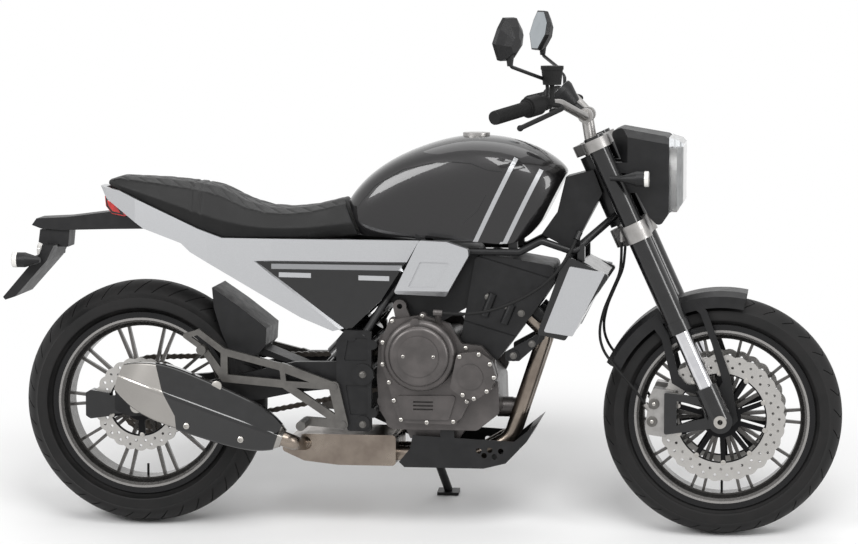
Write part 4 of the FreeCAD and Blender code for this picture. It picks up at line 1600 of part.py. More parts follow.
exhaust = fuse(exhaust_pieces)
parts["exhaust_pipes"] = exhaust.cut(muffler).cut(cylinders)
parts["muffler_shield"] = parts["muffler_shield"].cut(exhaust)

# Belly pan: an open channel with a rising nose
pan_shares = [(0.0, 0.11), (0.08, 0.4), (0.1, 0.69), (0.66, 0.61), (0.83, 0.59), (1.0, 1.0), (0.92, 0.59),
              (0.77, 0.12), (0.61, 0.0), (0.04, 0.0)]
pan_points = place(PAN_REAR_X, PAN_LENGTH, PAN_BASE_Z, PAN_HEIGHT, pan_shares)
pan_inner_shares = [(-0.1, 0.04), (-0.1, 1.3), (0.97, 1.3), (0.905, 0.62), (0.76, 0.16), (0.605, 0.04)]
pan_inner = place(PAN_REAR_X, PAN_LENGTH, PAN_BASE_Z, PAN_HEIGHT, pan_inner_shares)
pan = slab(pan_points, -PAN_HALF, PAN_HALF).cut(slab(pan_inner, -PAN_HALF + PAN_SKIN, PAN_HALF - PAN_SKIN))
hole_shares = [(0.615, 0.28), (0.655, 0.40), (0.69, 0.26), (0.735, 0.38), (0.575, 0.38)]
for u, w in hole_shares:
    pan = pan.cut(cross_rod(PAN_REAR_X + PAN_LENGTH * u, PAN_BASE_Z + PAN_HEIGHT * w, -2 * PAN_HALF,
                            2 * PAN_HALF, HOLE_RADIUS))
for near in (-PAN_HALF, PAN_HALF - 2 * PAN_SKIN):
    pan = pan.fuse(Part.makeBox(PAN_LENGTH * 0.1, 2 * PAN_SKIN, PAN_HEIGHT * 0.4,
                                V(PAN_REAR_X + PAN_LENGTH * 0.3, near, PAN_BASE_Z + PAN_HEIGHT * 0.6)))
parts["belly_pan"] = pan.removeSplitter().cut(parts["exhaust_pipes"]).cut(parts["engine_crankcase"]).cut(
    parts["engine_covers"])

# Footrest hangers, forged in flat bars, with rider and passenger pegs


def flat_bar(start, end, half):
    """A flat bar in the side view with round ends."""
    (x1, z1), (x2, z2) = start, end
    near = -HANGER_Y
    far = near - HANGER_THICK
    run = math.hypot(x2 - x1, z2 - z1)
    nx = -(z2 - z1) / run * half
    nz = (x2 - x1) / run * half
    bar_body = slab([(x1 + nx, z1 + nz), (x2 + nx, z2 + nz), (x2 - nx, z2 - nz), (x1 - nx, z1 - nz)], near,
                    far)
    return [bar_body, cross_rod(x1, z1, near, far, half), cross_rod(x2, z2, near, far, half)]


hanger_node_shares = [(0.93, 0.43), (0.985, 0.045), (0.61, 0.62), (0.25, 0.77), (0.09, 0.97), (0.01, 0.93),
                      (0.62, 0.45), (0.25, 0.5), (0.12, 0.80)]
nodes = place(HANGER_REAR_X, HANGER_LENGTH, HANGER_BASE_Z, HANGER_HEIGHT, hanger_node_shares)
upper_bolt, lower_bolt, arm_high, arm_end, loop_top, loop_tail, low_mid, silencer_bolt, loop_low = nodes
hanger = []
for start, end, share in ((upper_bolt, lower_bolt, 1.2), (upper_bolt, arm_high, 1.0),
                          (arm_high, arm_end, 0.8),
                          (arm_end, loop_top, 0.7), (loop_top, loop_tail, 0.6), (loop_tail, loop_low, 0.6),
                          (loop_low, silencer_bolt, 0.8), (low_mid, silencer_bolt, 0.9), (upper_bolt,
                                                                                          low_mid, 0.7),
                          (lower_bolt, low_mid, 0.9), (arm_end, silencer_bolt, 0.8), (arm_high, low_mid,
                                                                                      0.6)):
    hanger += flat_bar(start, end, HANGER_BAR * share)
peg_x = upper_bolt[0] - HANGER_LENGTH * 0.17
peg_z = lower_bolt[1] + PEG_RADIUS / 2
rear_peg_x = loop_low[0]
rear_peg_z = loop_low[1]
hanger += flat_bar(lower_bolt, (peg_x, peg_z), HANGER_BAR)
hanger.append(cross_rod(peg_x, peg_z, -HANGER_Y - HANGER_THICK, -HANGER_Y - HANGER_THICK - PEG_LENGTH,
                        PEG_RADIUS))
hanger.append(cross_rod(rear_peg_x, rear_peg_z, -HANGER_Y - HANGER_THICK,
                        -HANGER_Y - HANGER_THICK - PEG_LENGTH / 3,
                        PEG_RADIUS))
for spot in (upper_bolt, lower_bolt):
    hanger.append(cross_rod(spot[0], spot[1], -outer_y - CLEARANCE,
                            -HANGER_Y - HANGER_THICK - CLEARANCE * 10,
                            HANGER_BAR * 0.8))
hanger = fuse(hanger).cut(parts["muffler_shield"]).cut(muffler)
parts["footrests"] = both_sides(max(hanger.Solids, key=lambda s: s.Volume))

# Rear fender arm with its lamp block, plate carrier and indicators
arm_side_shares = [(0.015, 0.76), (0.043, 1.13), (0.224, 1.22), (0.4, 1.435), (0.493, 1.54), (0.614, 1.29),
                   (0.715, 1.0), (1.0, 0.3), (1.0, 0.0), (0.7, 0.62), (0.49, 0.58), (0.2, 0.49), (0.07,
                                                                                                  0.57)]
tail_arm_points = place(FENDER_ARM_TAIL_X, FENDER_ARM_LENGTH, FENDER_ARM_BASE_Z, FENDER_ARM_HEIGHT,
                        arm_side_shares)
tail_arm = slab(tail_arm_points, -FENDER_ARM_HALF, FENDER_ARM_HALF)
lamp_block_shares = [(0.06, 0.5), (0.24, 0.5), (0.23, -0.45), (0.11, -0.45), (0.05, -0.2)]
lamp_block = slab(place(FENDER_ARM_TAIL_X, FENDER_ARM_LENGTH, FENDER_ARM_BASE_Z, FENDER_ARM_HEIGHT,
                        lamp_block_shares),
                  -FENDER_ARM_HALF * 0.8, FENDER_ARM_HALF * 0.8)
carrier_shares = [(0.0, 0.05), (0.05, 0.0), (0.26, 0.06), (0.94, 0.72), (1.1, 1.0), (0.85, 1.0),
                  (0.8, 0.86)]
carrier = slab(place(PLATE_TAIL_X, CARRIER_LENGTH, PLATE_LOW_Z, CARRIER_HEIGHT, carrier_shares),
               -CARRIER_HALF,
               CARRIER_HALF)
rear_bar_x = FENDER_ARM_TAIL_X + FENDER_ARM_LENGTH * 0.075
rear_bar_z = FENDER_ARM_BASE_Z - FENDER_ARM_HEIGHT
stalk_bar = cross_rod(rear_bar_x, rear_bar_z, -REAR_INDICATOR_Y + INDICATOR_RADIUS * 0.6,
                      REAR_INDICATOR_Y - INDICATOR_RADIUS * 0.6, INDICATOR_STALK * 1.2)
tail_unit = fuse([tail_arm, lamp_block, carrier, stalk_bar])
for y in (-REAR_INDICATOR_Y, REAR_INDICATOR_Y):
    tail_unit = fuse([tail_unit, indicator(rear_bar_x + INDICATOR_LENGTH * 0.25, y, rear_bar_z,
                                           V(rear_bar_x, y * 0.8, rear_bar_z), -1)])
tail_unit = tail_unit.cut(parts["side_panels"]).cut(parts["frame"]).cut(parts["seat"]).cut(parts["tail_lamp"])
parts["rear_fender_arm"] = max(tail_unit.Solids, key=lambda s: s.Volume)

parts["clutch_cable"] = tube(cable_route, CABLE_RADIUS, CORD_BEND)

# Front brake hoses
parts["brake_hoses"] = both_sides(tube(hose_route, HOSE_RADIUS, CORD_BEND))


# Park it: lean everything about the length axis, drop it to the ground and centre its box.
def parked_point(p):
    turned = V(p.x, p.y * math.cos(lean) + p.z * math.sin(lean),
               p.z * math.cos(lean) - p.y * math.sin(lean))
    return turned + parking_shift


for shape in parts.values():
    shape.rotate(ORIGIN, UNIT_X, -LEAN_DEG)
whole_box = FreeCAD.BoundBox()
for shape in parts.values():
    whole_box.add(shape.optimalBoundingBox(False, False))
parking_shift = V(-whole_box.Center.x, -whole_box.Center.y, ground_drop)
os.makedirs("parts", exist_ok=True)
for name, shape in parts.items():
    shape.translate(parking_shift)
    shape.exportStep("parts/" + name + ".step")

# Joint and mount places in the parked frame, for reading against the drawing
lean_turn = FreeCAD.Rotation(UNIT_X, -LEAN_DEG)
places = {
    "steering_point": parked_point(stem_point(UPPER_CLAMP_Z)),
    "steering_axis": lean_turn.multVec(rake_up),
    "front_axle": parked_point(V(front_x, 0, front_z)),
    "rear_axle": parked_point(V(rear_x, 0, rear_z)),
    "wheel_axis": lean_turn.multVec(UNIT_Y),
    "stand_pivot": parked_point(stand_pivot),
    "stand_axis": lean_turn.multVec(stand_axis),
    "size": V(whole_box.XLength, whole_box.YLength, whole_box.ZLength)}
for name, spot in places.items():
    print(name, round(spot.x, 4), round(spot.y, 4), round(spot.z, 4))
print("stand_sweep_deg", round(stand_sweep_deg, 2))
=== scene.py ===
import json
import math

import bpy
from mathutils import Matrix, Vector
from mathutils.bvhtree import BVHTree


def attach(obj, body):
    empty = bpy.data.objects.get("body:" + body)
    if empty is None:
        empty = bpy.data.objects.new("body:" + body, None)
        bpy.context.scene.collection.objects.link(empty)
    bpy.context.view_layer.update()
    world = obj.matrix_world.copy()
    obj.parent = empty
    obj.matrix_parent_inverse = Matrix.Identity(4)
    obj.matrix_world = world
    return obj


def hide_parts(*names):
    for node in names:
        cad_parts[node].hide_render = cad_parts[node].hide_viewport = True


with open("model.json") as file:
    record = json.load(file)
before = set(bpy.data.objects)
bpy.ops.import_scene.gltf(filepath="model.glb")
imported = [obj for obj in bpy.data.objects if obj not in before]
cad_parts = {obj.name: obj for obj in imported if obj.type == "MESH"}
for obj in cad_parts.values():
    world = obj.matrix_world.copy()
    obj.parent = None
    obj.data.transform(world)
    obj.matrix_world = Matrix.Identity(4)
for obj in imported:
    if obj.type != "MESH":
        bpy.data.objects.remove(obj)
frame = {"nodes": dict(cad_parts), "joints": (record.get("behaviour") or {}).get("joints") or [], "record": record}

bl_info = {
    "name": "Cafe racer motorcycle",
    "version": (1, 0, 0),
    "blender": (4, 5, 0),
    "location": "3D View > Sidebar > Motorcycle",
    "description": "Adds the tyres, seat, lamps, fasteners and finishes of a parked cafe racer",
    "category": "Object",
}

# The machine is drawn upright in millimetres, as it would stand level, and then leaned on its side stand.
LEAN_DEG = 10.0
FRONT_AXLE = Vector((737.0, 0.0, 300.3038))
REAR_AXLE = Vector((-737.0, 0.0, 312.0))
RIM_RADIUS = 233.0
BEAD_RADIUS = 219.0
FRONT_DISC_INNER = 112.0
REAR_DISC_INNER = 79.0

MM = 0.001
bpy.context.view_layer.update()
joint = {j["name"]: j for j in frame["joints"]}
lean_turn = Matrix.Rotation(math.radians(-LEAN_DEG), 4, "X")
axle_parked = Vector(joint["front_wheel_spin"]["pos_m"])
park_shift = axle_parked - lean_turn @ (FRONT_AXLE * MM)
PARK = Matrix.Translation(park_shift) @ lean_turn @ Matrix.Scale(MM, 4)


# Materials

def linear(hex_colour):
    """A linear colour from an sRGB hex value such as 8A8B8C."""
    out = []
    for i in (0, 2, 4):
        c = int(hex_colour[i:i + 2], 16) / 255
        out.append(c / 12.92 if c <= 0.04045 else ((c + 0.055) / 1.055) ** 2.4)
    return (*out, 1.0)


def add_node(tree, kind, links=(), props=None, **values):
    """Adds one node, sets its properties and inputs, and links (input, source node, output) triples."""
    node = tree.nodes.new(kind)
    for key, value in (props or {}).items():
        setattr(node, key, value)
    for key, value in values.items():
        name = key.replace("_", " ")
        target = node.inputs.get(name)
        if target is None:
            target = node.inputs[int(key[1:])]
        target.default_value = value
    for into, source, out in links:
        tree.links.new(source.outputs[out], node.inputs[into])
    return node


COLOUR_SPREAD = (0.35, 0.7)
ROUGH_SPREAD = (0.3, 0.75)
COAT_ROUGHNESS = 0.04
GRAIN_DEPTH = 0.0006


def finish_material(name, colour, second, rough, rough_far, metal=0.0, scale=40.0, bump=0.0,
                    bump_scale=400.0, coat=0.0, ior=1.5, stretch=(1, 1, 1), sheen=0.0,
                    transmission=0.0, spec=0.5):
    """A surface whose colour and roughness wander between two near values, with a fine bump.

    Scales are repeats per metre, and the stretch draws the pattern out along an axis.
    """
    mat = bpy.data.materials.new(name)
    mat.use_nodes = True
    tree = mat.node_tree
    shader = tree.nodes["Principled BSDF"]
    coords = add_node(tree, "ShaderNodeTexCoord")
    mapping = add_node(tree, "ShaderNodeMapping", [("Vector", coords, "Object")], Scale=stretch)
    noise = add_node(tree, "ShaderNodeTexNoise", [("Vector", mapping, "Vector")], Scale=scale, Detail=4.0,
                     Roughness=0.55)
    spread = add_node(tree, "ShaderNodeMapRange", [("Value", noise, "Fac")], i1=COLOUR_SPREAD[0],
                      i2=COLOUR_SPREAD[1])
    mix = add_node(tree, "ShaderNodeMix", [("Factor", spread, "Result")], {"data_type": "RGBA"})
    mix.inputs[6].default_value = linear(colour)
    mix.inputs[7].default_value = linear(second)
    tree.links.new(mix.outputs[2], shader.inputs["Base Color"])
    rough_node = add_node(tree, "ShaderNodeMapRange", [("Value", noise, "Fac")], i1=ROUGH_SPREAD[0],
                          i2=ROUGH_SPREAD[1], i3=rough, i4=rough_far)
    tree.links.new(rough_node.outputs["Result"], shader.inputs["Roughness"])
    shader.inputs["Metallic"].default_value = metal
    if not metal:
        shader.inputs["IOR"].default_value = ior
    shader.inputs["Coat Weight"].default_value = coat
    shader.inputs["Coat Roughness"].default_value = COAT_ROUGHNESS
    shader.inputs["Sheen Weight"].default_value = sheen
    shader.inputs["Transmission Weight"].default_value = transmission
    shader.inputs["Specular IOR Level"].default_value = spec
    if bump:
        grain = add_node(tree, "ShaderNodeTexNoise", [("Vector", mapping, "Vector")], Scale=bump_scale,
                         Detail=3.0)
        bumped = add_node(tree, "ShaderNodeBump", [("Height", grain, "Fac")], Strength=bump,
                          Distance=GRAIN_DEPTH)
        tree.links.new(bumped.outputs["Normal"], shader.inputs["Normal"])
    return mat


def ringed_material(name, axle, rings, rough, metal):
    """A wheel finish whose colour changes at set distances in metres from the axle."""
    mat = finish_material(name, rings[0][1], rings[0][1], rough, rough + 0.12, metal=metal, scale=60,
                          bump=0.08, bump_scale=700)
    tree = mat.node_tree
    coords = add_node(tree, "ShaderNodeTexCoord")
    level = lean_turn.inverted()
    spot = level @ (PARK @ axle)
    mapping = add_node(tree, "ShaderNodeMapping", [("Vector", coords, "Object")], Location=-spot,
                       Rotation=(math.radians(LEAN_DEG), 0, 0))
    flat = add_node(tree, "ShaderNodeVectorMath", [("Vector", mapping, "Vector")], {"operation": "MULTIPLY"})
    flat.inputs[1].default_value = (1, 0, 1)
    reach = add_node(tree, "ShaderNodeVectorMath", [("Vector", flat, "Vector")], {"operation": "LENGTH"})
    ramp = add_node(tree, "ShaderNodeValToRGB", [("Fac", reach, "Value")])
    ramp.color_ramp.interpolation = "CONSTANT"
    stops = ramp.color_ramp.elements
    stops[0].position = 0.0
    stops[0].color = linear(rings[0][1])
    stops[1].position = rings[1][0]
    stops[1].color = linear(rings[1][1])
    for position, colour in rings[2:]:
        stops.new(position).color = linear(colour)
    tree.links.new(ramp.outputs["Color"], mat.node_tree.nodes["Principled BSDF"].inputs["Base Color"])
    return mat


# Ring colours of the wheels, from a distance in metres outwards: mid-grey spokes, their dark grey lifted by a
# painted highlight of their lit edges; a darker band; a light grey ring inside the rim's edge that is a painted
# highlight; then the near-black rim
RIM_RINGS_AND_HIGHLIGHTS = ((0.0, "5E5C5A"), (0.196, "3A3938"), (0.2065, "8C8A88"), (0.2185, "1A1A1B"))
CARRIER_BLACK = "1C1C1D"
DISC_GREY = "ADABA8"

# Each finish: its name, two near colours, two near roughnesses, and what else it needs
FINISHES = {
    # Satin black powder coat on the frame and stand, with a faint orange-peel
    "black_frame": ("black_powder_coat", "101011", "171718", 0.32, 0.46,
                    {"bump": 0.12, "bump_scale": 900, "spec": 0.3}),
    # Dark grey-brown engine paint, slightly rough and dull
    "engine_case": ("engine_paint_grey", "4C4948", "585453", 0.3, 0.42,
                    {"metal": 0.6, "bump": 0.2, "bump_scale": 1200, "scale": 25}),
    # Satin black heat-proof paint on the cylinders
    "engine_black": ("engine_paint_black", "0F0F10", "161617", 0.36, 0.5,
                     {"bump": 0.25, "bump_scale": 1400, "spec": 0.3}),
    # Brushed stainless steel with fine streaks
    "steel": ("stainless_brushed", "B9B6B1", "9D9A96", 0.24, 0.4,
              {"metal": 1.0, "scale": 60, "bump": 0.12, "bump_scale": 300, "stretch": (1, 12, 12)}),
    # Header steel, tinted brown by heat
    "pipe_steel": ("stainless_heat_tinted", "8F857B", "71675F", 0.24, 0.38,
                   {"metal": 1.0, "scale": 14, "bump": 0.08}),
    # Bright plated fork tubes
    "chrome": ("chrome_plate", "D2D2D4", "C4C4C8", 0.06, 0.12, {"metal": 1.0, "scale": 30}),
    # Cast and machined alloy, satin grey
    "alloy": ("cast_alloy_satin", "A3A19F", "8F8D8B", 0.32, 0.46,
              {"metal": 1.0, "bump": 0.15, "bump_scale": 1100}),
    # Black anodised alloy
    "black_alloy": ("black_anodised", "0C0C0D", "121213", 0.16, 0.26,
                    {"coat": 0.3, "bump": 0.1, "bump_scale": 900, "spec": 0.4}),
    # Oiled chain steel
    "chain_steel": ("chain_steel_oiled", "5A5550", "3C3835", 0.3, 0.55, {"metal": 1.0, "scale": 90}),
    # Moulded rubber of hoses, grips and pegs
    "rubber": ("black_rubber", "0F0F0F", "161616", 0.62, 0.8,
               {"bump": 0.2, "bump_scale": 700, "spec": 0.25}),
    # Tyre rubber, dusty grey-black
    "tyre": ("tyre_rubber", "161616", "1E1D1D", 0.5, 0.7,
             {"bump": 0.25, "bump_scale": 500, "scale": 18, "spec": 0.2}),
    # Grained black vinyl on the seat's sides
    "vinyl": ("seat_vinyl_black", "0D0D0D", "131313", 0.42, 0.56,
              {"bump": 0.6, "bump_scale": 1300, "sheen": 0.04, "spec": 0.25}),
    # Grained black plastic
    "plastic": ("grained_black_plastic", "101011", "161617", 0.38, 0.52,
                {"bump": 0.25, "bump_scale": 1500, "spec": 0.3}),
    # Gloss black lamp bowl
    "lamp_black": ("gloss_black_lacquer", "0A0A0B", "0F0F10", 0.08, 0.16, {"coat": 0.4, "spec": 0.4}),
    # Satin silver paint with a fine metallic fleck
    "silver_paint": ("silver_satin_paint", "B4B5B7", "ACADAF", 0.3, 0.38,
                     {"metal": 0.8, "scale": 500, "bump": 0.05, "bump_scale": 2500, "coat": 0.25}),
    # Tank lacquer, near-black with a grey fleck under a clear coat
    "tank_paint": ("tank_lacquer_black", "1C1B1C", "222122", 0.3, 0.38,
                   {"metal": 0.6, "scale": 500, "coat": 0.8, "spec": 0.4}),
    # Clear polycarbonate lens
    "lens": ("clear_lens", "F4F6F8", "EEF2F5", 0.02, 0.05, {"transmission": 0.95, "ior": 1.45}),
    # Red lamp plastic
    "red_lens": ("red_lamp_lens", "C01812", "8E0E0B", 0.08, 0.16, {"coat": 0.7, "scale": 90}),
    # White indicator lens
    "white_lens": ("white_lamp_lens", "DCDAD6", "CFCDC9", 0.12, 0.2, {"coat": 0.5, "scale": 120}),
    # Mirror glass
    "mirror": ("mirror_glass", "A4AAAE", "9CA2A6", 0.02, 0.04, {"metal": 1.0}),
    # Satin stainless muffler can, evenly polished
    "can_steel": ("stainless_satin", "A5A29E", "989591", 0.2, 0.27,
                  {"metal": 1.0, "scale": 3, "bump": 0.02, "bump_scale": 900}),
    # Gloss glass over the dial
    "dial_glass": ("dial_glass", "0A0A0C", "121216", 0.04, 0.08, {"coat": 1.0}),
    # Dark grey satin alloy of the footrest hangers
    "hanger_grey": ("hanger_alloy_dark", "6B6966", "5B5957", 0.3, 0.42,
                    {"metal": 0.9, "bump": 0.12, "bump_scale": 900}),
    # Darker silver of the panel's lower ledge, as painted shade of the panel's lower band
    "silver_shade": ("silver_paint_shaded", "8F9092", "868789", 0.3, 0.4, {"metal": 0.7, "scale": 500}),
    # Dark printed metal badge without lettering
    "badge": ("dark_badge_metal", "33302F", "3B3837", 0.3, 0.4, {"metal": 0.8, "scale": 300}),
}


def make_materials():
    """Every finish of the machine, by name."""
    mats = {key: finish_material(*row[:-1], **row[-1]) for key, row in FINISHES.items()}
    # Gloss-black rim with a light grey ring inside its edge that is a painted highlight, and dark grey spokes
    # lifted to mid grey by a painted highlight of their lit edges
    for name, axle in (("front_rim", FRONT_AXLE), ("rear_rim", REAR_AXLE)):
        mats[name] = ringed_material(name + "_enamel_and_painted_highlight", axle, RIM_RINGS_AND_HIGHLIGHTS, 0.22, 0.6)
    # Brushed brake discs on black carriers
    for name, axle, reach in (("front_discs", FRONT_AXLE, FRONT_DISC_INNER),
                              ("rear_disc", REAR_AXLE, REAR_DISC_INNER)):
        rings = ((0.0, CARRIER_BLACK), (reach * MM, DISC_GREY))
        mats[name] = ringed_material(name + "_steel", axle, rings, 0.34, 0.95)
    return mats


MATS = make_materials()


class MotorcycleLook(bpy.types.PropertyGroup):
    """The sizes of the dressing that a user would change"""
    rear_grooves: bpy.props.IntProperty(
        name="Rear grooves", description="Tread grooves on each side of the rear tyre",
        default=40, min=8, max=80)
    front_grooves: bpy.props.IntProperty(
        name="Front grooves", description="Tread grooves on each side of the front tyre",
        default=34, min=8, max=80)
    groove_width: bpy.props.FloatProperty(
        name="Groove width", description="Width of a tread groove in millimetres",
        default=4.0, min=1.5, max=9.0)
    groove_depth: bpy.props.FloatProperty(
        name="Groove depth", description="Depth of the tread in millimetres", default=2.6, min=1.0, max=7.0)
    quilt_pitch: bpy.props.FloatProperty(
        name="Quilt pitch", description="Spacing of the seat's sewn lines in millimetres",
        default=41.0, min=15.0)
    quilt_depth: bpy.props.FloatProperty(
        name="Quilt depth", description="How deep the sewn lines pull in, in millimetres",
        default=1.7, min=0.0)
    quilt_slope: bpy.props.FloatProperty(
        name="Quilt slope", description="How far the lines run forward on their way out", default=0.85)
    stripe_width: bpy.props.FloatProperty(
        name="Stripe width", description="Width of the tank's silver stripes in millimetres",
        default=11.0, min=3.0)
    bolt_scale: bpy.props.FloatProperty(
        name="Bolt scale", description="Size of the screws against the usual ones",
        default=1.0, min=0.5, max=1.6)


# Drawing in upright millimetres

def activate(obj):
    bpy.ops.object.select_all(action="DESELECT")
    obj.select_set(True)
    bpy.context.view_layer.objects.active = obj
    return obj


def paint(obj, name):
    obj.data.materials.clear()
    obj.data.materials.append(MATS[name])
    return obj


def fresh(name):
    """Names the primitive that was just added."""
    obj = bpy.context.active_object
    obj.name = name
    obj.data.name = name
    return obj


def settle(obj):
    """Puts a drawn object's place and turn into its mesh."""
    obj.data.transform(obj.matrix_world)
    obj.matrix_world = Matrix.Identity(4)
    return obj


def turned_to(axis, at):
    """The matrix that takes the z axis to the given direction at a place."""
    return Matrix.Translation(Vector(at)) @ Vector(axis).to_track_quat("Z", "Y").to_matrix().to_4x4()


def disc(name, at, axis, radius, height, sides=24, bevel=0.0):
    """A round or many-sided slug whose base stands at a place, pointing along an axis."""
    bpy.ops.object.select_all(action="DESELECT")
    bpy.ops.mesh.primitive_cylinder_add(vertices=sides, radius=radius, depth=height,
                                        location=(0, 0, height / 2))
    obj = settle(fresh(name))
    if bevel:
        round_edges(obj, bevel, 2)
    obj.data.transform(turned_to(axis, at))
    return obj


def block(name, centre, size, bevel=0.0, turn=None):
    bpy.ops.object.select_all(action="DESELECT")
    bpy.ops.mesh.primitive_cube_add(size=1.0, location=(0, 0, 0))
    obj = fresh(name)
    obj.data.transform(Matrix.Diagonal((*size, 1.0)))
    if bevel:
        round_edges(obj, bevel, 2)
    if turn is not None:
        obj.data.transform(turn)
    obj.data.transform(Matrix.Translation(Vector(centre)))
    return obj


def round_edges(obj, width, steps):
    activate(obj)
    mod = obj.modifiers.new("edge", "BEVEL")
    mod.width = width
    mod.segments = steps
    mod.limit_method = "ANGLE"
    mod.angle_limit = math.radians(35)
    bpy.ops.object.modifier_apply(modifier=mod.name)


def pick_faces(obj, test):
    """Selects the faces that pass a test on their centre and normal, and enters edit mode on them."""
    activate(obj)
    bpy.ops.object.mode_set(mode="EDIT")
    bpy.ops.mesh.select_mode(type="FACE")
    bpy.ops.mesh.select_all(action="DESELECT")
    bpy.ops.object.mode_set(mode="OBJECT")
    for poly in obj.data.polygons:
        poly.select = bool(test(poly.center, poly.normal))
    bpy.ops.object.mode_set(mode="EDIT")


def leave_edit():
    bpy.ops.object.mode_set(mode="OBJECT")


def joined(name, pieces):
    """One mesh out of several drawn ones."""
    bpy.ops.object.select_all(action="DESELECT")
    for piece in pieces:
        piece.select_set(True)
    bpy.context.view_layer.objects.active = pieces[0]
    if len(pieces) > 1:
        bpy.ops.object.join()
    obj = pieces[0]
    obj.name = name
    obj.data.name = name
    return obj


def copies(name, model, places):
    """Copies of a model, each with its own mesh, at the given matrices, joined into one piece."""
    out = []
    for at in places:
        piece = model.copy()
        piece.data = model.data.copy()
        bpy.context.scene.collection.objects.link(piece)
        piece.data.transform(at)
        out.append(piece)
    bpy.data.objects.remove(model)
    return joined(name, out)


def flat_plate(name, points, y_near, y_far, bevel=0.0):
    """A plate with an outline of (x, z) points between two distances from the machine's middle plane."""
    bpy.ops.object.select_all(action="DESELECT")
    bpy.ops.mesh.primitive_circle_add(vertices=len(points), radius=1.0, fill_type="NGON")
    obj = settle(fresh(name))
    for vert, (x, z) in zip(obj.data.vertices, points):
        vert.co = (x, y_near, z)
    activate(obj)
    bpy.ops.object.mode_set(mode="EDIT")
    bpy.ops.mesh.select_all(action="SELECT")
    bpy.ops.mesh.extrude_region_move(TRANSFORM_OT_translate={"value": (0, y_far - y_near, 0)})
    bpy.ops.mesh.select_all(action="SELECT")
    bpy.ops.mesh.normals_make_consistent(inside=False)
    leave_edit()
    if bevel:
        round_edges(obj, bevel, 2)
    return obj


def park(obj, body, slot=None, smooth_deg=35):
    """Leans a piece drawn upright in millimetres, leaves it unturned at the origin and gives it to a body."""
    obj.data.transform(PARK @ obj.matrix_world)
    obj.matrix_world = Matrix.Identity(4)
    activate(obj)
    bpy.ops.object.mode_set(mode="EDIT")
    bpy.ops.mesh.select_all(action="SELECT")
    bpy.ops.mesh.normals_make_consistent(inside=False)
    leave_edit()
    bpy.ops.object.shade_smooth_by_angle(angle=math.radians(smooth_deg))
    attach(obj, body)
    if slot:
        if not obj.data.materials:
            paint(obj, slot)
    return obj


def socket_bolt(name, radius, height):
    """A cap screw with a round recess, its base at the origin, pointing up."""
    obj = disc(name, (0, 0, 0), (0, 0, 1), radius, height, 18, radius * 0.12)
    pick_faces(obj, lambda c, n: n.z > 0.9 and c.z > height * 0.9)
    bpy.ops.mesh.inset(thickness=radius * 0.4)
    bpy.ops.mesh.extrude_region_move(TRANSFORM_OT_translate={"value": (0, 0, -height * 0.5)})
    leave_edit()
    return obj


def hex_bolt(name, radius, height):
    """A flanged six-sided head, its base at the origin, pointing up."""
    head = disc(name, (0, 0, 0), (0, 0, 1), radius * 0.82, height, 6, radius * 0.08)
    flange = disc(name + "_flange", (0, 0, 0), (0, 0, 1), radius, height * 0.25, 18)
    return joined(name, [head, flange])


# Wheels

# Tyre outlines in millimetres; the grooves sweep by an angle over a share of the tread's half width
REAR_TYRE = {"size": 312.0, "crown": 84.0, "width": 160.0, "rim_width": 124.0, "sweep_deg": 9.0,
             "rows_grooved": (0.2, 0.93), "zigzag": False}
FRONT_TYRE = {"size": 300.0, "crown": 64.0, "width": 120.0, "rim_width": 96.0, "sweep_deg": -11.0,
              "rows_grooved": (0.1, 0.9), "zigzag": True}
FRONT_GROOVE_SHARE = 0.9
TREAD_SHARE = 0.85
CROWN_ROWS = 20


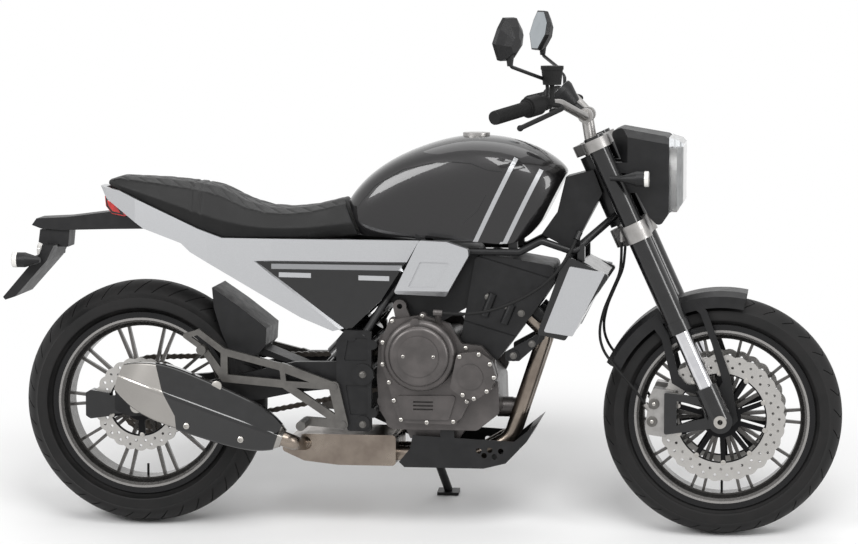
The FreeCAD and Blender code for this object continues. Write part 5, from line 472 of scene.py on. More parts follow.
def tyre_shape(name, axle, pitches, groove_mm, depth, size, crown, width, rim_width, sweep_deg,
               rows_grooved, zigzag):
    """A tyre whose grid of faces follows its curved grooves, which are then pressed in."""
    half = width / 2
    turn = math.asin(half * TREAD_SHARE / crown)
    lean = math.radians(LEAN_DEG)
    profile = []
    for j in range(CROWN_ROWS + 1):
        a = turn * (2 * j / CROWN_ROWS - 1)
        bulge = crown * (1 - math.cos(max(abs(a), lean)))
        profile.append((crown * math.sin(a), size - bulge, a / turn))
    edge_r = profile[-1][1]
    lip_r = RIM_RADIUS + 0.4
    bead_y = rim_width / 2 - 6.4
    mid_r = (edge_r + lip_r) / 2
    wall = [(half - 1.2, edge_r * 0.72 + mid_r * 0.28), (half - 0.2, mid_r + 4), (half - 0.6, mid_r - 5),
            (half - 0.4, mid_r - 8), (half - 1.8, mid_r - 10), (half - (half - bead_y) * 0.45, lip_r + 11),
            (bead_y + 1, lip_r + 3), (bead_y - 0.3, lip_r + 0.5), (bead_y - 0.4, BEAD_RADIUS + 1)]
    right = [(y, r, 2.0) for y, r in wall]
    left = [(-y, r, -2.0) for y, r in reversed(wall)]
    ring = left + profile + right
    ring.append((ring[0][0], ring[0][1], -2.0))
    groove = groove_mm / size
    pitch = 2 * math.pi / pitches
    starts = [0.0, groove, pitch / 4, pitch / 2, pitch / 2 + groove, pitch * 3 / 4]
    columns = pitches * len(starts)
    bpy.ops.object.select_all(action="DESELECT")
    bpy.ops.mesh.primitive_grid_add(x_subdivisions=columns, y_subdivisions=len(ring) - 1, size=2.0)
    obj = settle(fresh(name))
    for vert in obj.data.vertices:
        i = round((vert.co.x + 1) / 2 * columns)
        y, r, share = ring[round((vert.co.y + 1) / 2 * (len(ring) - 1))]
        shift = min(abs(share), 1.0)
        drift = math.radians(sweep_deg) * (shift ** 1.4)
        if zigzag:
            drift = math.radians(sweep_deg) * (0.5 - abs(shift * 2 - 0.9) * 0.5)
        angle = (i // len(starts)) * pitch + starts[i % len(starts)] + drift
        vert.co = (axle.x + r * math.cos(angle), axle.y + y, axle.z + r * math.sin(angle))
    pressed = set()
    low, high = rows_grooved
    first = len(left)
    for poly in obj.data.polygons:
        # The grid's faces run along x first, so their index gives column and row.
        i = poly.index % columns
        j = poly.index // columns
        share = 2 * (j - first + 0.5) / CROWN_ROWS - 1
        if 0 <= j - first < CROWN_ROWS and low < abs(share) < high:
            if i % len(starts) == (0 if share > 0 else 3):
                pressed.add(poly.index)
    activate(obj)
    bpy.ops.object.mode_set(mode="EDIT")
    bpy.ops.mesh.select_mode(type="FACE")
    bpy.ops.mesh.select_all(action="DESELECT")
    leave_edit()
    for poly in obj.data.polygons:
        poly.select = poly.index in pressed
    bpy.ops.object.mode_set(mode="EDIT")
    bpy.ops.mesh.extrude_region_shrink_fatten(TRANSFORM_OT_shrink_fatten={"value": depth})
    bpy.ops.mesh.select_all(action="SELECT")
    bpy.ops.mesh.remove_doubles(threshold=0.02)
    bpy.ops.mesh.normals_make_consistent(inside=False)
    leave_edit()
    return obj


class MotoTyres(bpy.types.Operator):
    """Moulds both tyres with the grooves of their tread"""
    bl_idname = "moto.tyres"
    bl_label = "Tyres"

    def execute(self, context):
        look = context.scene.motorcycle
        rear = tyre_shape("rear_tyre_tread", REAR_AXLE, look.rear_grooves, look.groove_width,
                          look.groove_depth, **REAR_TYRE)
        front = tyre_shape("front_tyre_tread", FRONT_AXLE, look.front_grooves,
                           look.groove_width * FRONT_GROOVE_SHARE, look.groove_depth, **FRONT_TYRE)
        for obj, body, node in ((rear, "rear_wheel", "rear_tyre"), (front, "front_wheel", "front_tyre")):
            park(obj, body, "tyre", 40)
            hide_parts(node)
        return {"FINISHED"}


# Disc bobbins: their axle, body, sides, reach from the axle, distance from the middle and number
BOBBIN_ROWS = ((FRONT_AXLE, "front_wheel", (-1, 1), FRONT_DISC_INNER, 64.4, 10),
               (REAR_AXLE, "rear_wheel", (-1,), REAR_DISC_INNER, 86.4, 5))
BOBBIN_TURN_DEG = 15
BOBBIN_RADIUS = 6.5
VALVE_REACH = 196.0
VALVE_LENGTH = 30.0


class MotoWheelParts(bpy.types.Operator):
    """Adds the bobbins of the brake discs and the valve stems"""
    bl_idname = "moto.wheel_parts"
    bl_label = "Wheel parts"

    def execute(self, context):
        for axle, body, sides, reach, far, count in BOBBIN_ROWS:
            bobbins = []
            for side in sides:
                slug = disc("bobbin", (0, 0, 0), (0, 0, 1), BOBBIN_RADIUS, 2.2, 16, 0.6)
                spots = []
                for i in range(count):
                    angle = -2 * math.pi * i / count - math.radians(BOBBIN_TURN_DEG)
                    at = axle + Vector((math.cos(angle) * reach, side * far, math.sin(angle) * reach))
                    spots.append(turned_to((0, side, 0), at))
                bobbins.append(copies("bobbins", slug, spots))
            park(joined(body + "_bobbins", bobbins), body, "steel")
            stem = disc("valve", axle + Vector((0, 0, -VALVE_REACH)), (0, 0, 1), 3.2, VALVE_LENGTH, 12, 0.5)
            park(joined(body + "_valve", [stem]), body, "rubber")
        return {"FINISHED"}


# Seat

# Spans of the quilted parts and the seams beside the smooth band, along the machine
QUILTED_REAR = (-812, -597)
QUILTED_FRONT = (-562, -232)
BAND_SEAMS = (-600.0, -577.0)
# How far the upward part of the surface normal makes a face part of the quilted top
TOP_EDGE = 0.62
TOP_START = 0.58
TOP_FADE = 0.16
SEAT_VOXEL = 2.9


def seam_groove(distance, width, depth):
    """How deep a sewn line pulls the cover in, at a distance from it."""
    return depth * math.exp(-(distance / width) ** 2)


class MotoSeat(bpy.types.Operator):
    """Covers the seat in quilted vinyl with a smooth band and plain sides"""
    bl_idname = "moto.seat"
    bl_label = "Seat"

    def execute(self, context):
        look = context.scene.motorcycle
        bpy.ops.object.select_all(action="DESELECT")
        obj = frame["nodes"]["seat"].copy()
        obj.data = frame["nodes"]["seat"].data.copy()
        bpy.context.scene.collection.objects.link(obj)
        obj.name = obj.data.name = "seat_cover"
        obj.hide_render = False
        obj.hide_viewport = False
        obj.data.transform(PARK.inverted())
        activate(obj)
        bpy.ops.object.mode_set(mode="EDIT")
        bpy.ops.mesh.select_all(action="SELECT")
        bpy.ops.mesh.remove_doubles(threshold=0.01)
        leave_edit()
        remesh = obj.modifiers.new("even_mesh", "REMESH")
        remesh.mode = "VOXEL"
        remesh.voxel_size = SEAT_VOXEL
        bpy.ops.object.modifier_apply(modifier=remesh.name)
        relax = obj.modifiers.new("relax", "SMOOTH")
        relax.factor = 0.5
        relax.iterations = 4
        bpy.ops.object.modifier_apply(modifier=relax.name)
        mesh = obj.data
        moves = []
        for vert in mesh.vertices:
            x, y, z = vert.co
            n = vert.normal
            top = max(0.0, min(1.0, (n.z - TOP_START) / TOP_FADE))
            pull = 0.0
            in_front = QUILTED_FRONT[0] < x < QUILTED_FRONT[1]
            if in_front or QUILTED_REAR[0] < x < QUILTED_REAR[1]:
                line = (x - look.quilt_slope * abs(y)) / look.quilt_pitch
                off = abs(line - round(line)) * look.quilt_pitch / math.hypot(1, look.quilt_slope)
                puff = min(1.0, off / 9.0) * 0.5
                pull += top * (seam_groove(off, 2.4, look.quilt_depth) - puff)
            for seam_x in BAND_SEAMS:
                pull += seam_groove(x - seam_x, 3.2, 3.0) * max(0.0, min(1.0, n.z * 2 + 0.6))
            if in_front or QUILTED_REAR[0] < x < BAND_SEAMS[0]:
                pull += seam_groove((n.z - TOP_EDGE) * 60, 4.0, 2.2) if n.z > 0.3 else 0.0
            wrinkle = 0.5 * math.sin(x * 0.11 + y * 0.07) * math.sin(y * 0.13 - x * 0.05)
            moves.append(vert.co - n * (pull + 0.6 + wrinkle * 0.2))
        for vert, spot in zip(mesh.vertices, moves):
            vert.co = spot
        park(obj, "chassis", "vinyl", 180)
        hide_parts("seat")
        return {"FINISHED"}


# Painted and seamed lines that follow a surface

def surface_of(*nodes):
    """A search tree over CAD nodes, upright in millimetres."""
    verts = []
    polys = []
    back = PARK.inverted()
    for node in nodes:
        mesh = frame["nodes"][node].data
        base = len(verts)
        verts.extend(back @ v.co for v in mesh.vertices)
        polys.extend([base + i for i in p.vertices] for p in mesh.polygons)
    return BVHTree.FromPolygons(verts, polys)


def laid_strip(name, tree, line, width, side, proud=0.35, thick=0.6, steps=26, across=4):
    """A thin strip along (x, z) points, laid on the surface that is met coming in from one side."""
    points = [Vector((x, 0, z)) for x, z in line]
    lengths = [0.0]
    for a, b in zip(points, points[1:]):
        lengths.append(lengths[-1] + (b - a).length)
    bpy.ops.object.select_all(action="DESELECT")
    bpy.ops.mesh.primitive_grid_add(x_subdivisions=steps, y_subdivisions=across, size=2.0)
    obj = settle(fresh(name))
    for vert in obj.data.vertices:
        along = (vert.co.x + 1) / 2 * lengths[-1]
        k = 0
        while k < len(points) - 2 and along > lengths[k + 1]:
            k += 1
        share = (along - lengths[k]) / (lengths[k + 1] - lengths[k])
        spot = points[k].lerp(points[k + 1], share)
        run = (points[min(k + 2, len(points) - 1)] - points[max(k - 1, 0)]) if 0.3 < share < 0.7 else (
            points[k + 1] - points[k])
        run.normalize()
        spot += Vector((-run.z, 0, run.x)) * (vert.co.y * width / 2)
        hit = tree.ray_cast(Vector((spot.x, side * 400, spot.z)), Vector((0, -side, 0)))
        if hit[0] is None:
            hit = tree.find_nearest(Vector((spot.x, side * 130, spot.z)))
        vert.co = hit[0] + Vector((0, side * proud, 0))
    activate(obj)
    bpy.ops.object.mode_set(mode="EDIT")
    bpy.ops.mesh.select_all(action="SELECT")
    bpy.ops.mesh.extrude_region_move(TRANSFORM_OT_translate={"value": (0, -side * thick, 0)})
    bpy.ops.mesh.select_all(action="SELECT")
    bpy.ops.mesh.normals_make_consistent(inside=False)
    leave_edit()
    return obj


TANK_STRIPES = [[(225, 949), (116, 724)], [(287, 920), (190, 722)]]
# The tank's crease and its lower front edge, along which thin gloss-black strips are laid as painted shade
TANK_CREASE_SHADE = [(-182, 817), (-132, 876), (-60, 917), (12, 934), (70, 938), (113, 935), (155, 919), (191, 915)]
TANK_EDGE_SHADE = [(94, 786), (130, 817), (152, 858)]
PANEL_LEDGE = [(-392, 672), (-60, 672)]
COVER_STRIPES = [[(-373, 651), (-291, 650)], [(-170, 646), (-92, 645)]]


class MotoPaintwork(bpy.types.Operator):
    """Lays the silver stripes on the tank and the side covers, thin gloss-black strips of painted shade along the
    tank's crease and lower front edge, and darker silver ledges of painted shade on the panels
    """
    bl_idname = "moto.paintwork"
    bl_label = "Paintwork"

    def execute(self, context):
        look = context.scene.motorcycle
        tank = surface_of("fuel_tank")
        covers = surface_of("side_covers")
        stripes = []
        crease_shades = []
        cover_stripes = []
        for side in (-1, 1):
            for line in TANK_STRIPES:
                stripes.append(laid_strip("stripe", tank, line, look.stripe_width, side))
            # Thin gloss-black strips along the tank's crease and lower front edge: painted shade of the folds
            crease_shades.append(laid_strip("crease", tank, TANK_CREASE_SHADE, 3.0, side, 0.2, 0.8, 60, 2))
            crease_shades.append(laid_strip("crease", tank, TANK_EDGE_SHADE, 2.0, side, 0.2, 0.8, 30, 2))
            for line in COVER_STRIPES:
                cover_stripes.append(laid_strip("stripe", covers, line, 12.0, side))
        park(joined("tank_stripes", stripes), "chassis", "silver_paint")
        # The crease strips are gloss black as painted shade
        park(paint(joined("tank_crease_shades", crease_shades), "lamp_black"), "chassis", "lamp_black")
        park(joined("side_cover_stripes", cover_stripes), "chassis", "silver_paint")
        panels = surface_of("side_panels", "side_covers")
        # The ledges are darker silver: painted shade of the panel's lower band
        ledges = [laid_strip("ledge", panels, PANEL_LEDGE, 13.0, side, 1.2, 2.0, 60, 2) for side in (-1, 1)]
        park(paint(joined("panel_ledges", ledges), "silver_shade"), "chassis", "silver_paint")
        return {"FINISHED"}


# Fasteners

ENGINE_BOLTS = [(-82, 540), (-106, 486), (-106, 431), (-90, 386), (-78, 340), (-60, 292), (5, 286), (72, 289),
                (106, 341), (165, 377), (167, 441), (103, 475), (-6, 554)]
COVER_FACE_Y = 132.0
PUMP_FACE_Y = 169.5
PUMP_BOLTS = [(92, 458), (140, 464), (168, 440), (178, 407), (160, 372), (128, 353), (100, 362)]


# Bare badges on the right covers: place, radius, height, sides and edge
BADGES = [((-10, -187.6, 458), 51.0, 0.9, 72, 0.3), ((-10, -188.2, 458), 46.0, 1.3, 72, 0.5),
          ((118, -169.6, 407), 30.0, 1.2, 48, 0.5), ((118, -170.4, 407), 9.0, 2.4, 32, 0.8),
          ((52, -131.6, 314), 13.0, 3.0, 32, 0.8)]
BADGE_SCREWS = [(-48.0, -188.9, 458), (28.0, -188.9, 458)]
# Frame bolts on both sides, as x, distance from the middle and z
FRAME_BOLTS = [(155, 97.5, 600), (205, 97.5, 575), (238, 97.5, 560), (220, 112.5, 455), (266, 108.0, 485),
               (-155, 150.5, 406), (-155, 150.5, 280)]


class MotoFasteners(bpy.types.Operator):
    """Adds the screws and bolts of the engine and the frame, and the engine's badges"""
    bl_idname = "moto.fasteners"
    bl_label = "Fasteners"

    def execute(self, context):
        look = context.scene.motorcycle
        scale = look.bolt_scale
        spots = []
        for side in (-1, 1):
            for x, z in ENGINE_BOLTS:
                spots.append(turned_to((0, side, 0), (x, side * COVER_FACE_Y, z)))
        for x, z in PUMP_BOLTS:
            spots.append(turned_to((0, -1, 0), (x, -PUMP_FACE_Y, z)))
        park(copies("engine_screws", socket_bolt("screw", 5.2 * scale, 7.0), spots), "chassis", "steel")
        badges = [disc("badge", at, (0, -1, 0), *size) for at, *size in BADGES]
        park(paint(joined("engine_badges", badges), "badge"), "chassis", "engine_case")
        pins = [turned_to((0, -1, 0), at) for at in BADGE_SCREWS]
        park(copies("badge_screws", socket_bolt("screw", 4.2 * scale, 2.2), pins), "chassis", "steel")
        spots = []
        for side in (-1, 1):
            for x, y, z in FRAME_BOLTS:
                spots.append(turned_to((0, side, 0), (x, side * y, z)))
        bolts = copies("frame_bolts", hex_bolt("frame_bolt", 9.0 * scale, 7.0), spots)
        park(paint(bolts, "hanger_grey"), "chassis", "steel")
        return {"FINISHED"}


def met(tree, x, z, side):
    """The distance from the middle plane at which a node is met coming in from one side."""
    hit = tree.ray_cast(Vector((x, side * 400, z)), Vector((0, -side, 0)))
    return hit[0].y


AXLE_PLATE = [(-779, 313), (-776, 322), (-768, 325), (-742, 317), (-731, 309), (-728, 300), (-733, 293),
              (-744, 293), (-766, 302), (-775, 307)]


SHIELD_BOLTS = [(-585, 282), (-450, 249)]
HANGER_BOLT = (-513, 380)
AXLE_PLATE_Y = 115.0


class MotoExhaustTrim(bpy.types.Operator):
    """Adds the bolts of the muffler's shield and the plates at the rear axle"""
    bl_idname = "moto.exhaust_trim"
    bl_label = "Shield bolts and axle plates"

    def execute(self, context):
        scale = context.scene.motorcycle.bolt_scale
        shield = surface_of("muffler_shield", "muffler", "footrests")
        spots = []
        for x, z in SHIELD_BOLTS:
            spots.append(turned_to((0, -1, 0), (x, met(shield, x, z, -1) + 0.6, z)))
        park(copies("shield_bolts", socket_bolt("screw", 8.0 * scale, 5.0), spots), "chassis", "steel")
        x, z = HANGER_BOLT
        hub = disc("hub", (x, met(shield, x, z, -1) + 0.6, z), (0, -1, 0), 13.0, 4.0, 32, 1.0)
        park(joined("hanger_bolt", [hub]), "chassis", "steel")
        plates = []
        for side in (-1, 1):
            y = side * AXLE_PLATE_Y
            plates.append(flat_plate("plate", AXLE_PLATE, y, y + side * 2.5, 0.8))
        park(joined("axle_plates", plates), "chassis", "alloy")
        return {"FINISHED"}


# Lamps, dial and mirrors

LENS_OUTLINE = [(-70, 979), (70, 979), (84, 955), (84, 870), (58, 808), (-58, 808), (-84, 870), (-84, 955)]


def fore_plate(name, points, x_near, x_far, bevel=0.0):
    """A plate facing forward with an outline of (y, z) points, between two x distances."""
    obj = flat_plate(name, [(y, z) for y, z in points], x_near, x_far, bevel)
    obj.data.transform(Matrix(((0, 1, 0, 0), (1, 0, 0, 0), (0, 0, 1, 0), (0, 0, 0, 1))))
    return obj


LENS_CENTRE_Z = 895
BOWL_SHARE = 0.93
BOWL_X = 604.0
UNIT_HEIGHTS = (942.0, 850.0)


class MotoHeadlight(bpy.types.Operator):
    """Adds the bowl, the lamp units, the light bar and the clear lens of the headlight"""
    bl_idname = "moto.headlight"
    bl_label = "Headlight"

    def execute(self, context):
        inner = [(y * BOWL_SHARE, LENS_CENTRE_Z + (z - LENS_CENTRE_Z) * BOWL_SHARE) for y, z in LENS_OUTLINE]
        bowl = fore_plate("bowl", inner, BOWL_X, BOWL_X + 3.0)
        rim = fore_plate("rim", inner, BOWL_X, BOWL_X + 18.0)
        pick_faces(rim, lambda c, n: n.x > 0.9)
        bpy.ops.mesh.inset(thickness=7.0)
        bpy.ops.mesh.extrude_region_move(TRANSFORM_OT_translate={"value": (-15, 0, 0)})
        leave_edit()
        park(joined("headlight_bowl", [bowl, rim]), "front_end", "alloy")
        units = []
        for z in UNIT_HEIGHTS:
            ring = disc("unit", (BOWL_X + 3.0, 0, z), (1, 0, 0), 33.0, 10.0, 40, 1.5)
            pick_faces(ring, lambda c, n: n.x > 0.9)
            bpy.ops.mesh.inset(thickness=5.0)
            bpy.ops.mesh.extrude_region_move(TRANSFORM_OT_translate={"value": (-6, 0, 0)})
            leave_edit()
            units.append(ring)
        park(joined("headlight_units", units), "front_end", "chrome")
        eyes = []
        for z in UNIT_HEIGHTS:
            bpy.ops.object.select_all(action="DESELECT")
            bpy.ops.mesh.primitive_uv_sphere_add(segments=32, ring_count=16, radius=24.0)
            eye = settle(fresh("eye"))
            eye.data.transform(Matrix.Translation((BOWL_X, 0, z)) @ Matrix.Diagonal((0.6, 1, 1, 1)))
            eyes.append(eye)
        park(joined("headlight_eyes", eyes), "front_end", "lens")
        bar = block("light_bar", (612.0, 0, 900.0), (10.0, 150.0, 14.0), 2.0)
        park(paint(bar, "white_lens"), "front_end", "lens")
        return {"FINISHED"}


FRONT_LENS_AT = (546.0, 152.0, 903.0)
REAR_LENS_AT = (-1040.0, 132.0, 682.0)
LENS_END_RADIUS = 19.6
# Outline shares of the mirror glass, its sizes, its foot and its turns
MIRROR_SHARES = [(-0.5, 1.0), (0.35, 1.0), (0.95, 0.72), (1.0, 0.4), (0.35, 0.0), (-0.4, 0.0), (-1.0, 0.4),
                 (-0.8, 0.75)]
MIRROR_HALF = 52.0
MIRROR_HEIGHT = 104.0
GLASS_SHARE = 0.93
MIRROR_FOOT = (221.0, -398.0, 1202.0)
MIRROR_TOE_DEG = -30
MIRROR_LEAN_DEG = 11
DIAL_FACE = (322.0, 0, 1114.0)
DIAL_AXIS = (-math.sqrt(0.5), 0, math.sqrt(0.5))


class MotoLamps(bpy.types.Operator):
    """Adds the white lens ends of the indicators, the mirror glasses and the dial's glass"""
    bl_idname = "moto.lamps"
    bl_label = "Indicators, mirrors and dial"

    def execute(self, context):
        fronts = []
        rears = []
        glasses = []
        for side in (-1, 1):
            x, y, z = FRONT_LENS_AT
            fronts.append(disc("lens_end", (x, side * y, z), (1, 0, 0), LENS_END_RADIUS, 12.8, 32, 2.5))
            x, y, z = REAR_LENS_AT
            rears.append(disc("lens_end", (x, side * y, z), (-1, 0, 0), LENS_END_RADIUS, 14.0, 32, 2.5))
            points = [(MIRROR_HALF * GLASS_SHARE * u, MIRROR_HEIGHT * (0.5 + (w - 0.5) * GLASS_SHARE))
                      for u, w in MIRROR_SHARES]
            glass = fore_plate("glass", points, -0.9, 0.6)
            toe = Matrix.Rotation(math.radians(MIRROR_TOE_DEG), 4, "Z")
            lean = Matrix.Rotation(math.radians(MIRROR_LEAN_DEG), 4, "Y")
            glass.data.transform(Matrix.Translation(MIRROR_FOOT) @ toe @ lean)
            glass.data.transform(Matrix.Diagonal((1, -side, 1, 1)))
            glasses.append(glass)
        park(paint(joined("front_indicator_lenses", fronts), "white_lens"), "front_end", "lens")
        park(paint(joined("rear_indicator_lenses", rears), "white_lens"), "chassis", "lens")
        park(paint(joined("mirror_glasses", glasses), "mirror"), "front_end", "chrome")
        ring = disc("ring", DIAL_FACE, DIAL_AXIS, 32.5, 2.2, 48, 0.8)
        pick_faces(ring, lambda c, n: n.dot(Vector(DIAL_AXIS)) > 0.95)
        bpy.ops.mesh.inset(thickness=2.5)
        bpy.ops.mesh.extrude_region_move(TRANSFORM_OT_translate={"value": [-1.2 * a for a in DIAL_AXIS]})
        leave_edit()
        park(paint(ring, "dial_glass"), "front_end", "lens")
        return {"FINISHED"}


TAIL_FRAME = [(-832, 836), (-830, 814), (-816, 796), (-784, 791), (-800, 818), (-812, 833)]
TAIL_GLASS = [(-828, 829), (-825, 815), (-814, 801), (-793, 796), (-804, 815), (-813, 827)]


class MotoTailLamp(bpy.types.Operator):
    """Adds the red glasses of the tail lamp on both sides of the tail"""
    bl_idname = "moto.tail_lamp"
    bl_label = "Tail lamp"

    def execute(self, context):
        tail = surface_of("side_panels", "tail_lamp")
        glasses = []
        frames = []
        for side in (-1, 1):
            out = max(side * met(tail, x, z, side) for x, z in ((-822, 818), (-808, 808), (-797, 800)))
            frames.append(flat_plate("tail_frame", TAIL_FRAME, side * (out - 6.0), side * (out + 0.8), 0.6))
            glasses.append(flat_plate("tail_glass", TAIL_GLASS, side * out, side * (out + 2.2), 0.8))
        park(paint(joined("tail_lamp_frames", frames), "lamp_black"), "chassis", "plastic")
        park(joined("tail_lamp_glasses", glasses), "chassis", "red_lens")
        return {"FINISHED"}


# Places of the piston covers as shares of the caliper's length and height
PISTON_SHARES = ((0.30, 0.32), (0.36, 0.68))


class MotoCalipers(bpy.types.Operator):
    """Adds the piston covers and the bolts of the front brake calipers"""
    bl_idname = "moto.calipers"
    bl_label = "Calipers"

    def execute(self, context):
        back = PARK.inverted()
        verts = [back @ v.co for v in frame["nodes"]["front_calipers"].data.vertices]
        near = [v for v in verts if v.y < 0]
        xs = [v.x for v in near]
        zs = [v.z for v in near]
        tree = surface_of("front_calipers")
        covers = []
        spots = []
        for side in (-1, 1):
            for x_share, z_share in PISTON_SHARES:
                x = min(xs) + (max(xs) - min(xs)) * x_share
                z = min(zs) + (max(zs) - min(zs)) * z_share
                y = met(tree, x, z, side)
                covers.append(disc("cover", (x, y - side * 1.0, z), (0, side, 0), 13.5, 4.5, 32, 1.2))
                spots.append(turned_to((0, side, 0), (x, y + side * 3.3, z)))
        park(paint(joined("caliper_covers", covers), "hanger_grey"), "front_end", "alloy")
        park(copies("caliper_screws", socket_bolt("screw", 4.6, 3.2), spots), "front_end", "steel")
        return {"FINISHED"}


GRIP_END = (204.0, 410.0, 1064.0)
GRIP_INNER = (272.2, 303.35, 1082.9)
GRIP_RIBS = 24


class MotoGrips(bpy.types.Operator):
    """Adds the ribs of the rubber grips"""
    bl_idname = "moto.grips"
    bl_label = "Grips"

    def execute(self, context):
        ribs = []
        for side in (-1, 1):
            end = Vector((GRIP_END[0], side * GRIP_END[1], GRIP_END[2]))
            inner = Vector((GRIP_INNER[0], side * GRIP_INNER[1], GRIP_INNER[2]))
            run = (inner - end).normalized()
            for k in range(GRIP_RIBS):
                ribs.append(disc("rib", end.lerp(inner, 0.03 + 0.039 * k), run, 17.4, 2.6, 20))
            ribs.append(disc("rib", inner - run * 4.0, run, 20.5, 3.8, 24, 1.0))
        park(joined("grip_ribs", ribs), "front_end", "rubber")
        return {"FINISHED"}


# Stage

CAMERA_AT = (1.065, -8.2, 1.475)
CAMERA_TURN_DEG = 7.45
CAMERA_DOWN_DEG = 5.69
CAMERA_LENS_MM = 137.6
WORLD_FILL = 0.3


def photo_camera():
    """The camera stands where the photograph was taken, leaned with the machine."""
    data = bpy.data.cameras.new("photo_camera")
    data.sensor_width = 36.0
    data.lens = CAMERA_LENS_MM
    data.clip_end = 100.0
    cam = bpy.data.objects.new("photo_camera", data)
    bpy.context.scene.collection.objects.link(cam)
    seat = Matrix.Translation(Vector(CAMERA_AT))
    level = Matrix.Rotation(math.radians(CAMERA_TURN_DEG), 4, "Z")
    turn = level @ Matrix.Rotation(math.radians(90 - CAMERA_DOWN_DEG), 4, "X")
    cam.matrix_world = Matrix.Translation(park_shift) @ lean_turn @ seat @ turn
    bpy.context.scene.camera = cam
    return cam


def soft_light(name, place, aim, size, power, size_y=None):
    data = bpy.data.lights.new(name, "AREA")
    data.shape = "RECTANGLE"
    data.size = size
    data.size_y = size_y or size
    data.energy = power
    lamp = bpy.data.objects.new(name, data)
    bpy.context.scene.collection.objects.link(lamp)
    lamp.location = place
    lamp.rotation_euler = (Vector(aim) - Vector(place)).to_track_quat("-Z", "Y").to_euler()
    return lamp


def white_world():
    """White to the camera, in metal and in clear glass, softer grey where it lights the machine."""
    world = bpy.data.worlds.new("studio_white")
    bpy.context.scene.world = world
    world.use_nodes = True
    tree = world.node_tree
    tree.nodes.clear()
    paths = add_node(tree, "ShaderNodeLightPath")
    seen = add_node(tree, "ShaderNodeMath", [(0, paths, "Is Camera Ray"), (1, paths, "Is Glossy Ray")],
                    {"operation": "MAXIMUM"})
    seen = add_node(tree, "ShaderNodeMath", [(0, seen, "Value"), (1, paths, "Is Transmission Ray")],
                    {"operation": "MAXIMUM"})
    fill = add_node(tree, "ShaderNodeBackground", Color=(1, 1, 1, 1), Strength=WORLD_FILL)
    plain = add_node(tree, "ShaderNodeBackground", Color=(1, 1, 1, 1), Strength=1.0)
    mix = add_node(tree, "ShaderNodeMixShader", [(0, seen, "Value"), (1, fill, "Background"),
                                                 (2, plain, "Background")])
    add_node(tree, "ShaderNodeOutputWorld", [("Surface", mix, "Shader")])


def floor_material():
    """Matt pale floor that keeps the shadow and runs out into plain white all round."""
    mat = bpy.data.materials.new("pale_floor")
    mat.use_nodes = True
    tree = mat.node_tree
    shader = tree.nodes["Principled BSDF"]
    shader.inputs["Base Color"].default_value = (0.86, 0.86, 0.86, 1)
    shader.inputs["Roughness"].default_value = 0.7
    coords = add_node(tree, "ShaderNodeTexCoord")
    mapping = add_node(tree, "ShaderNodeMapping", [("Vector", coords, "Object")], Scale=(0.72, 1.05, 0.0),
                       Location=(0.0, 0.16, 0.0))
    reach = add_node(tree, "ShaderNodeVectorMath", [("Vector", mapping, "Vector")], {"operation": "LENGTH"})
    fade = add_node(tree, "ShaderNodeMapRange", [("Value", reach, "Value")],
                    {"interpolation_type": "SMOOTHSTEP"}, i1=0.72, i2=1.35)
    paths = add_node(tree, "ShaderNodeLightPath")
    seen = add_node(tree, "ShaderNodeMath", [(0, paths, "Is Camera Ray"), (1, paths, "Is Glossy Ray")],
                    {"operation": "MAXIMUM"})
    seen = add_node(tree, "ShaderNodeMath", [(0, seen, "Value"), (1, paths, "Is Transmission Ray")],
                    {"operation": "MAXIMUM"})
    share = add_node(tree, "ShaderNodeMath", [(0, fade, "Result"), (1, seen, "Value")],
                     {"operation": "MULTIPLY"})
    white = add_node(tree, "ShaderNodeEmission", Color=(1, 1, 1, 1), Strength=1.0)
    add = add_node(tree, "ShaderNodeMixShader", [(0, share, "Value"), (1, shader, "BSDF"),
                                                 (2, white, "Emission")])
    tree.links.new(add.outputs["Shader"], tree.nodes["Material Output"].inputs["Surface"])
    return mat


# Each lamp: its name, place, aim, width, power and height
LAMPS = (("key_light", (1.5, -3.5, 5.0), (0, 0, 0.5), 3.0, 190, 2.0),
         ("rear_softbox", (-3.0, -3.2, 3.4), (-0.3, 0, 0.7), 2.6, 130, 1.6),
         ("front_strip", (4.5, -2.0, 2.0), (0.4, 0, 0.5), 1.0, 70, 2.5),
         ("top_light", (0, 1.5, 4.5), (0, 0, 0.4), 4.0, 80))


class MotoStage(bpy.types.Operator):
    """Adds the pale floor, the soft studio lights and the camera"""
    bl_idname = "moto.stage"
    bl_label = "Stage"

    def execute(self, context):
        bpy.ops.mesh.primitive_plane_add(size=60.0, location=(0, 0, -0.0005))
        floor = context.active_object
        floor.name = "floor"
        floor.data.materials.append(floor_material())
        white_world()
        photo_camera()
        for lamp in LAMPS:
            soft_light(*lamp)
        bpy.context.scene.view_settings.view_transform = "Standard"
        return {"FINISHED"}


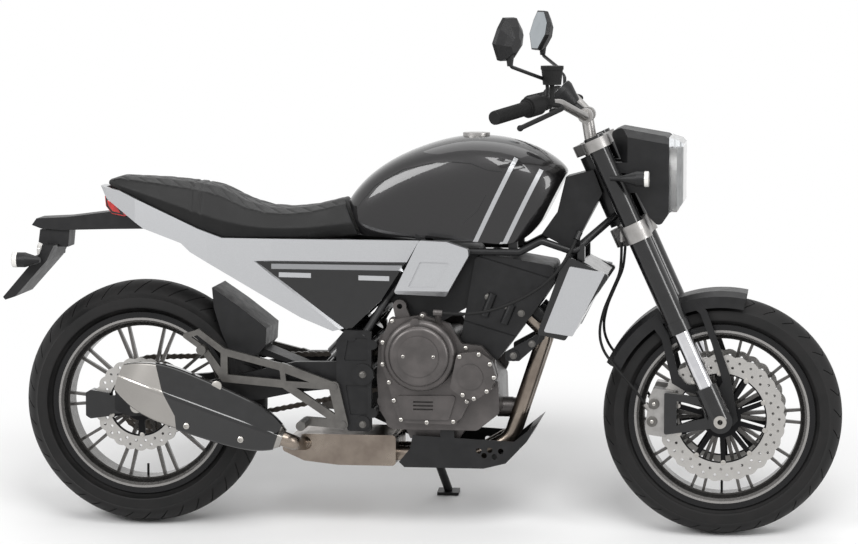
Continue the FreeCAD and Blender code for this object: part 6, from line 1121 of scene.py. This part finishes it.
NODE_LOOKS = {"footrests": "hanger_grey", "muffler_shield": "lamp_black", "headlight_shell": "plastic",
              "muffler": "can_steel", "side_covers": "lamp_black",
              "front_rim": "front_rim", "rear_rim": "rear_rim", "front_discs": "front_discs",
              "rear_disc": "rear_disc", "engine_covers": "engine_case"}


class MotoFinishes(bpy.types.Operator):
    """Gives every solid of the frame its finish"""
    bl_idname = "moto.finishes"
    bl_label = "Finishes"

    def execute(self, context):
        slots = {s["node"]: s["material_slot"] for s in frame["record"]["subparts"]}
        for name, obj in frame["nodes"].items():
            obj.data.materials.clear()
            obj.data.materials.append(MATS[NODE_LOOKS.get(name, slots[name])])
            activate(obj)
            bpy.ops.object.shade_smooth_by_angle(angle=math.radians(25))
        return {"FINISHED"}


OPERATORS = (MotoFinishes, MotoTyres, MotoWheelParts, MotoSeat, MotoPaintwork, MotoFasteners, MotoExhaustTrim,
             MotoHeadlight, MotoLamps,
             MotoTailLamp, MotoCalipers, MotoGrips, MotoStage)


class MotoPanel(bpy.types.Panel):
    """Lists the pieces of the motorcycle in the sidebar"""
    bl_idname = "VIEW3D_PT_motorcycle"
    bl_label = "Motorcycle"
    bl_space_type = "VIEW_3D"
    bl_region_type = "UI"
    bl_category = "Motorcycle"

    def draw(self, context):
        look = context.scene.motorcycle
        for key in look.bl_rna.properties.keys():
            if key not in ("rna_type", "name"):
                self.layout.prop(look, key)
        for operator in OPERATORS:
            self.layout.operator(operator.bl_idname)


CLASSES = (MotorcycleLook, *OPERATORS, MotoPanel)


def register():
    for cls in CLASSES:
        bpy.utils.register_class(cls)
    bpy.types.Scene.motorcycle = bpy.props.PointerProperty(type=MotorcycleLook)


def unregister():
    del bpy.types.Scene.motorcycle
    for cls in reversed(CLASSES):
        bpy.utils.unregister_class(cls)


def main():
    register()
    bpy.ops.moto.finishes()
    bpy.ops.moto.tyres()
    bpy.ops.moto.wheel_parts()
    bpy.ops.moto.seat()
    bpy.ops.moto.paintwork()
    bpy.ops.moto.fasteners()
    bpy.ops.moto.exhaust_trim()
    bpy.ops.moto.headlight()
    bpy.ops.moto.lamps()
    bpy.ops.moto.tail_lamp()
    bpy.ops.moto.calipers()
    bpy.ops.moto.grips()
    bpy.ops.moto.stage()


if __name__ == "__main__":
    main()
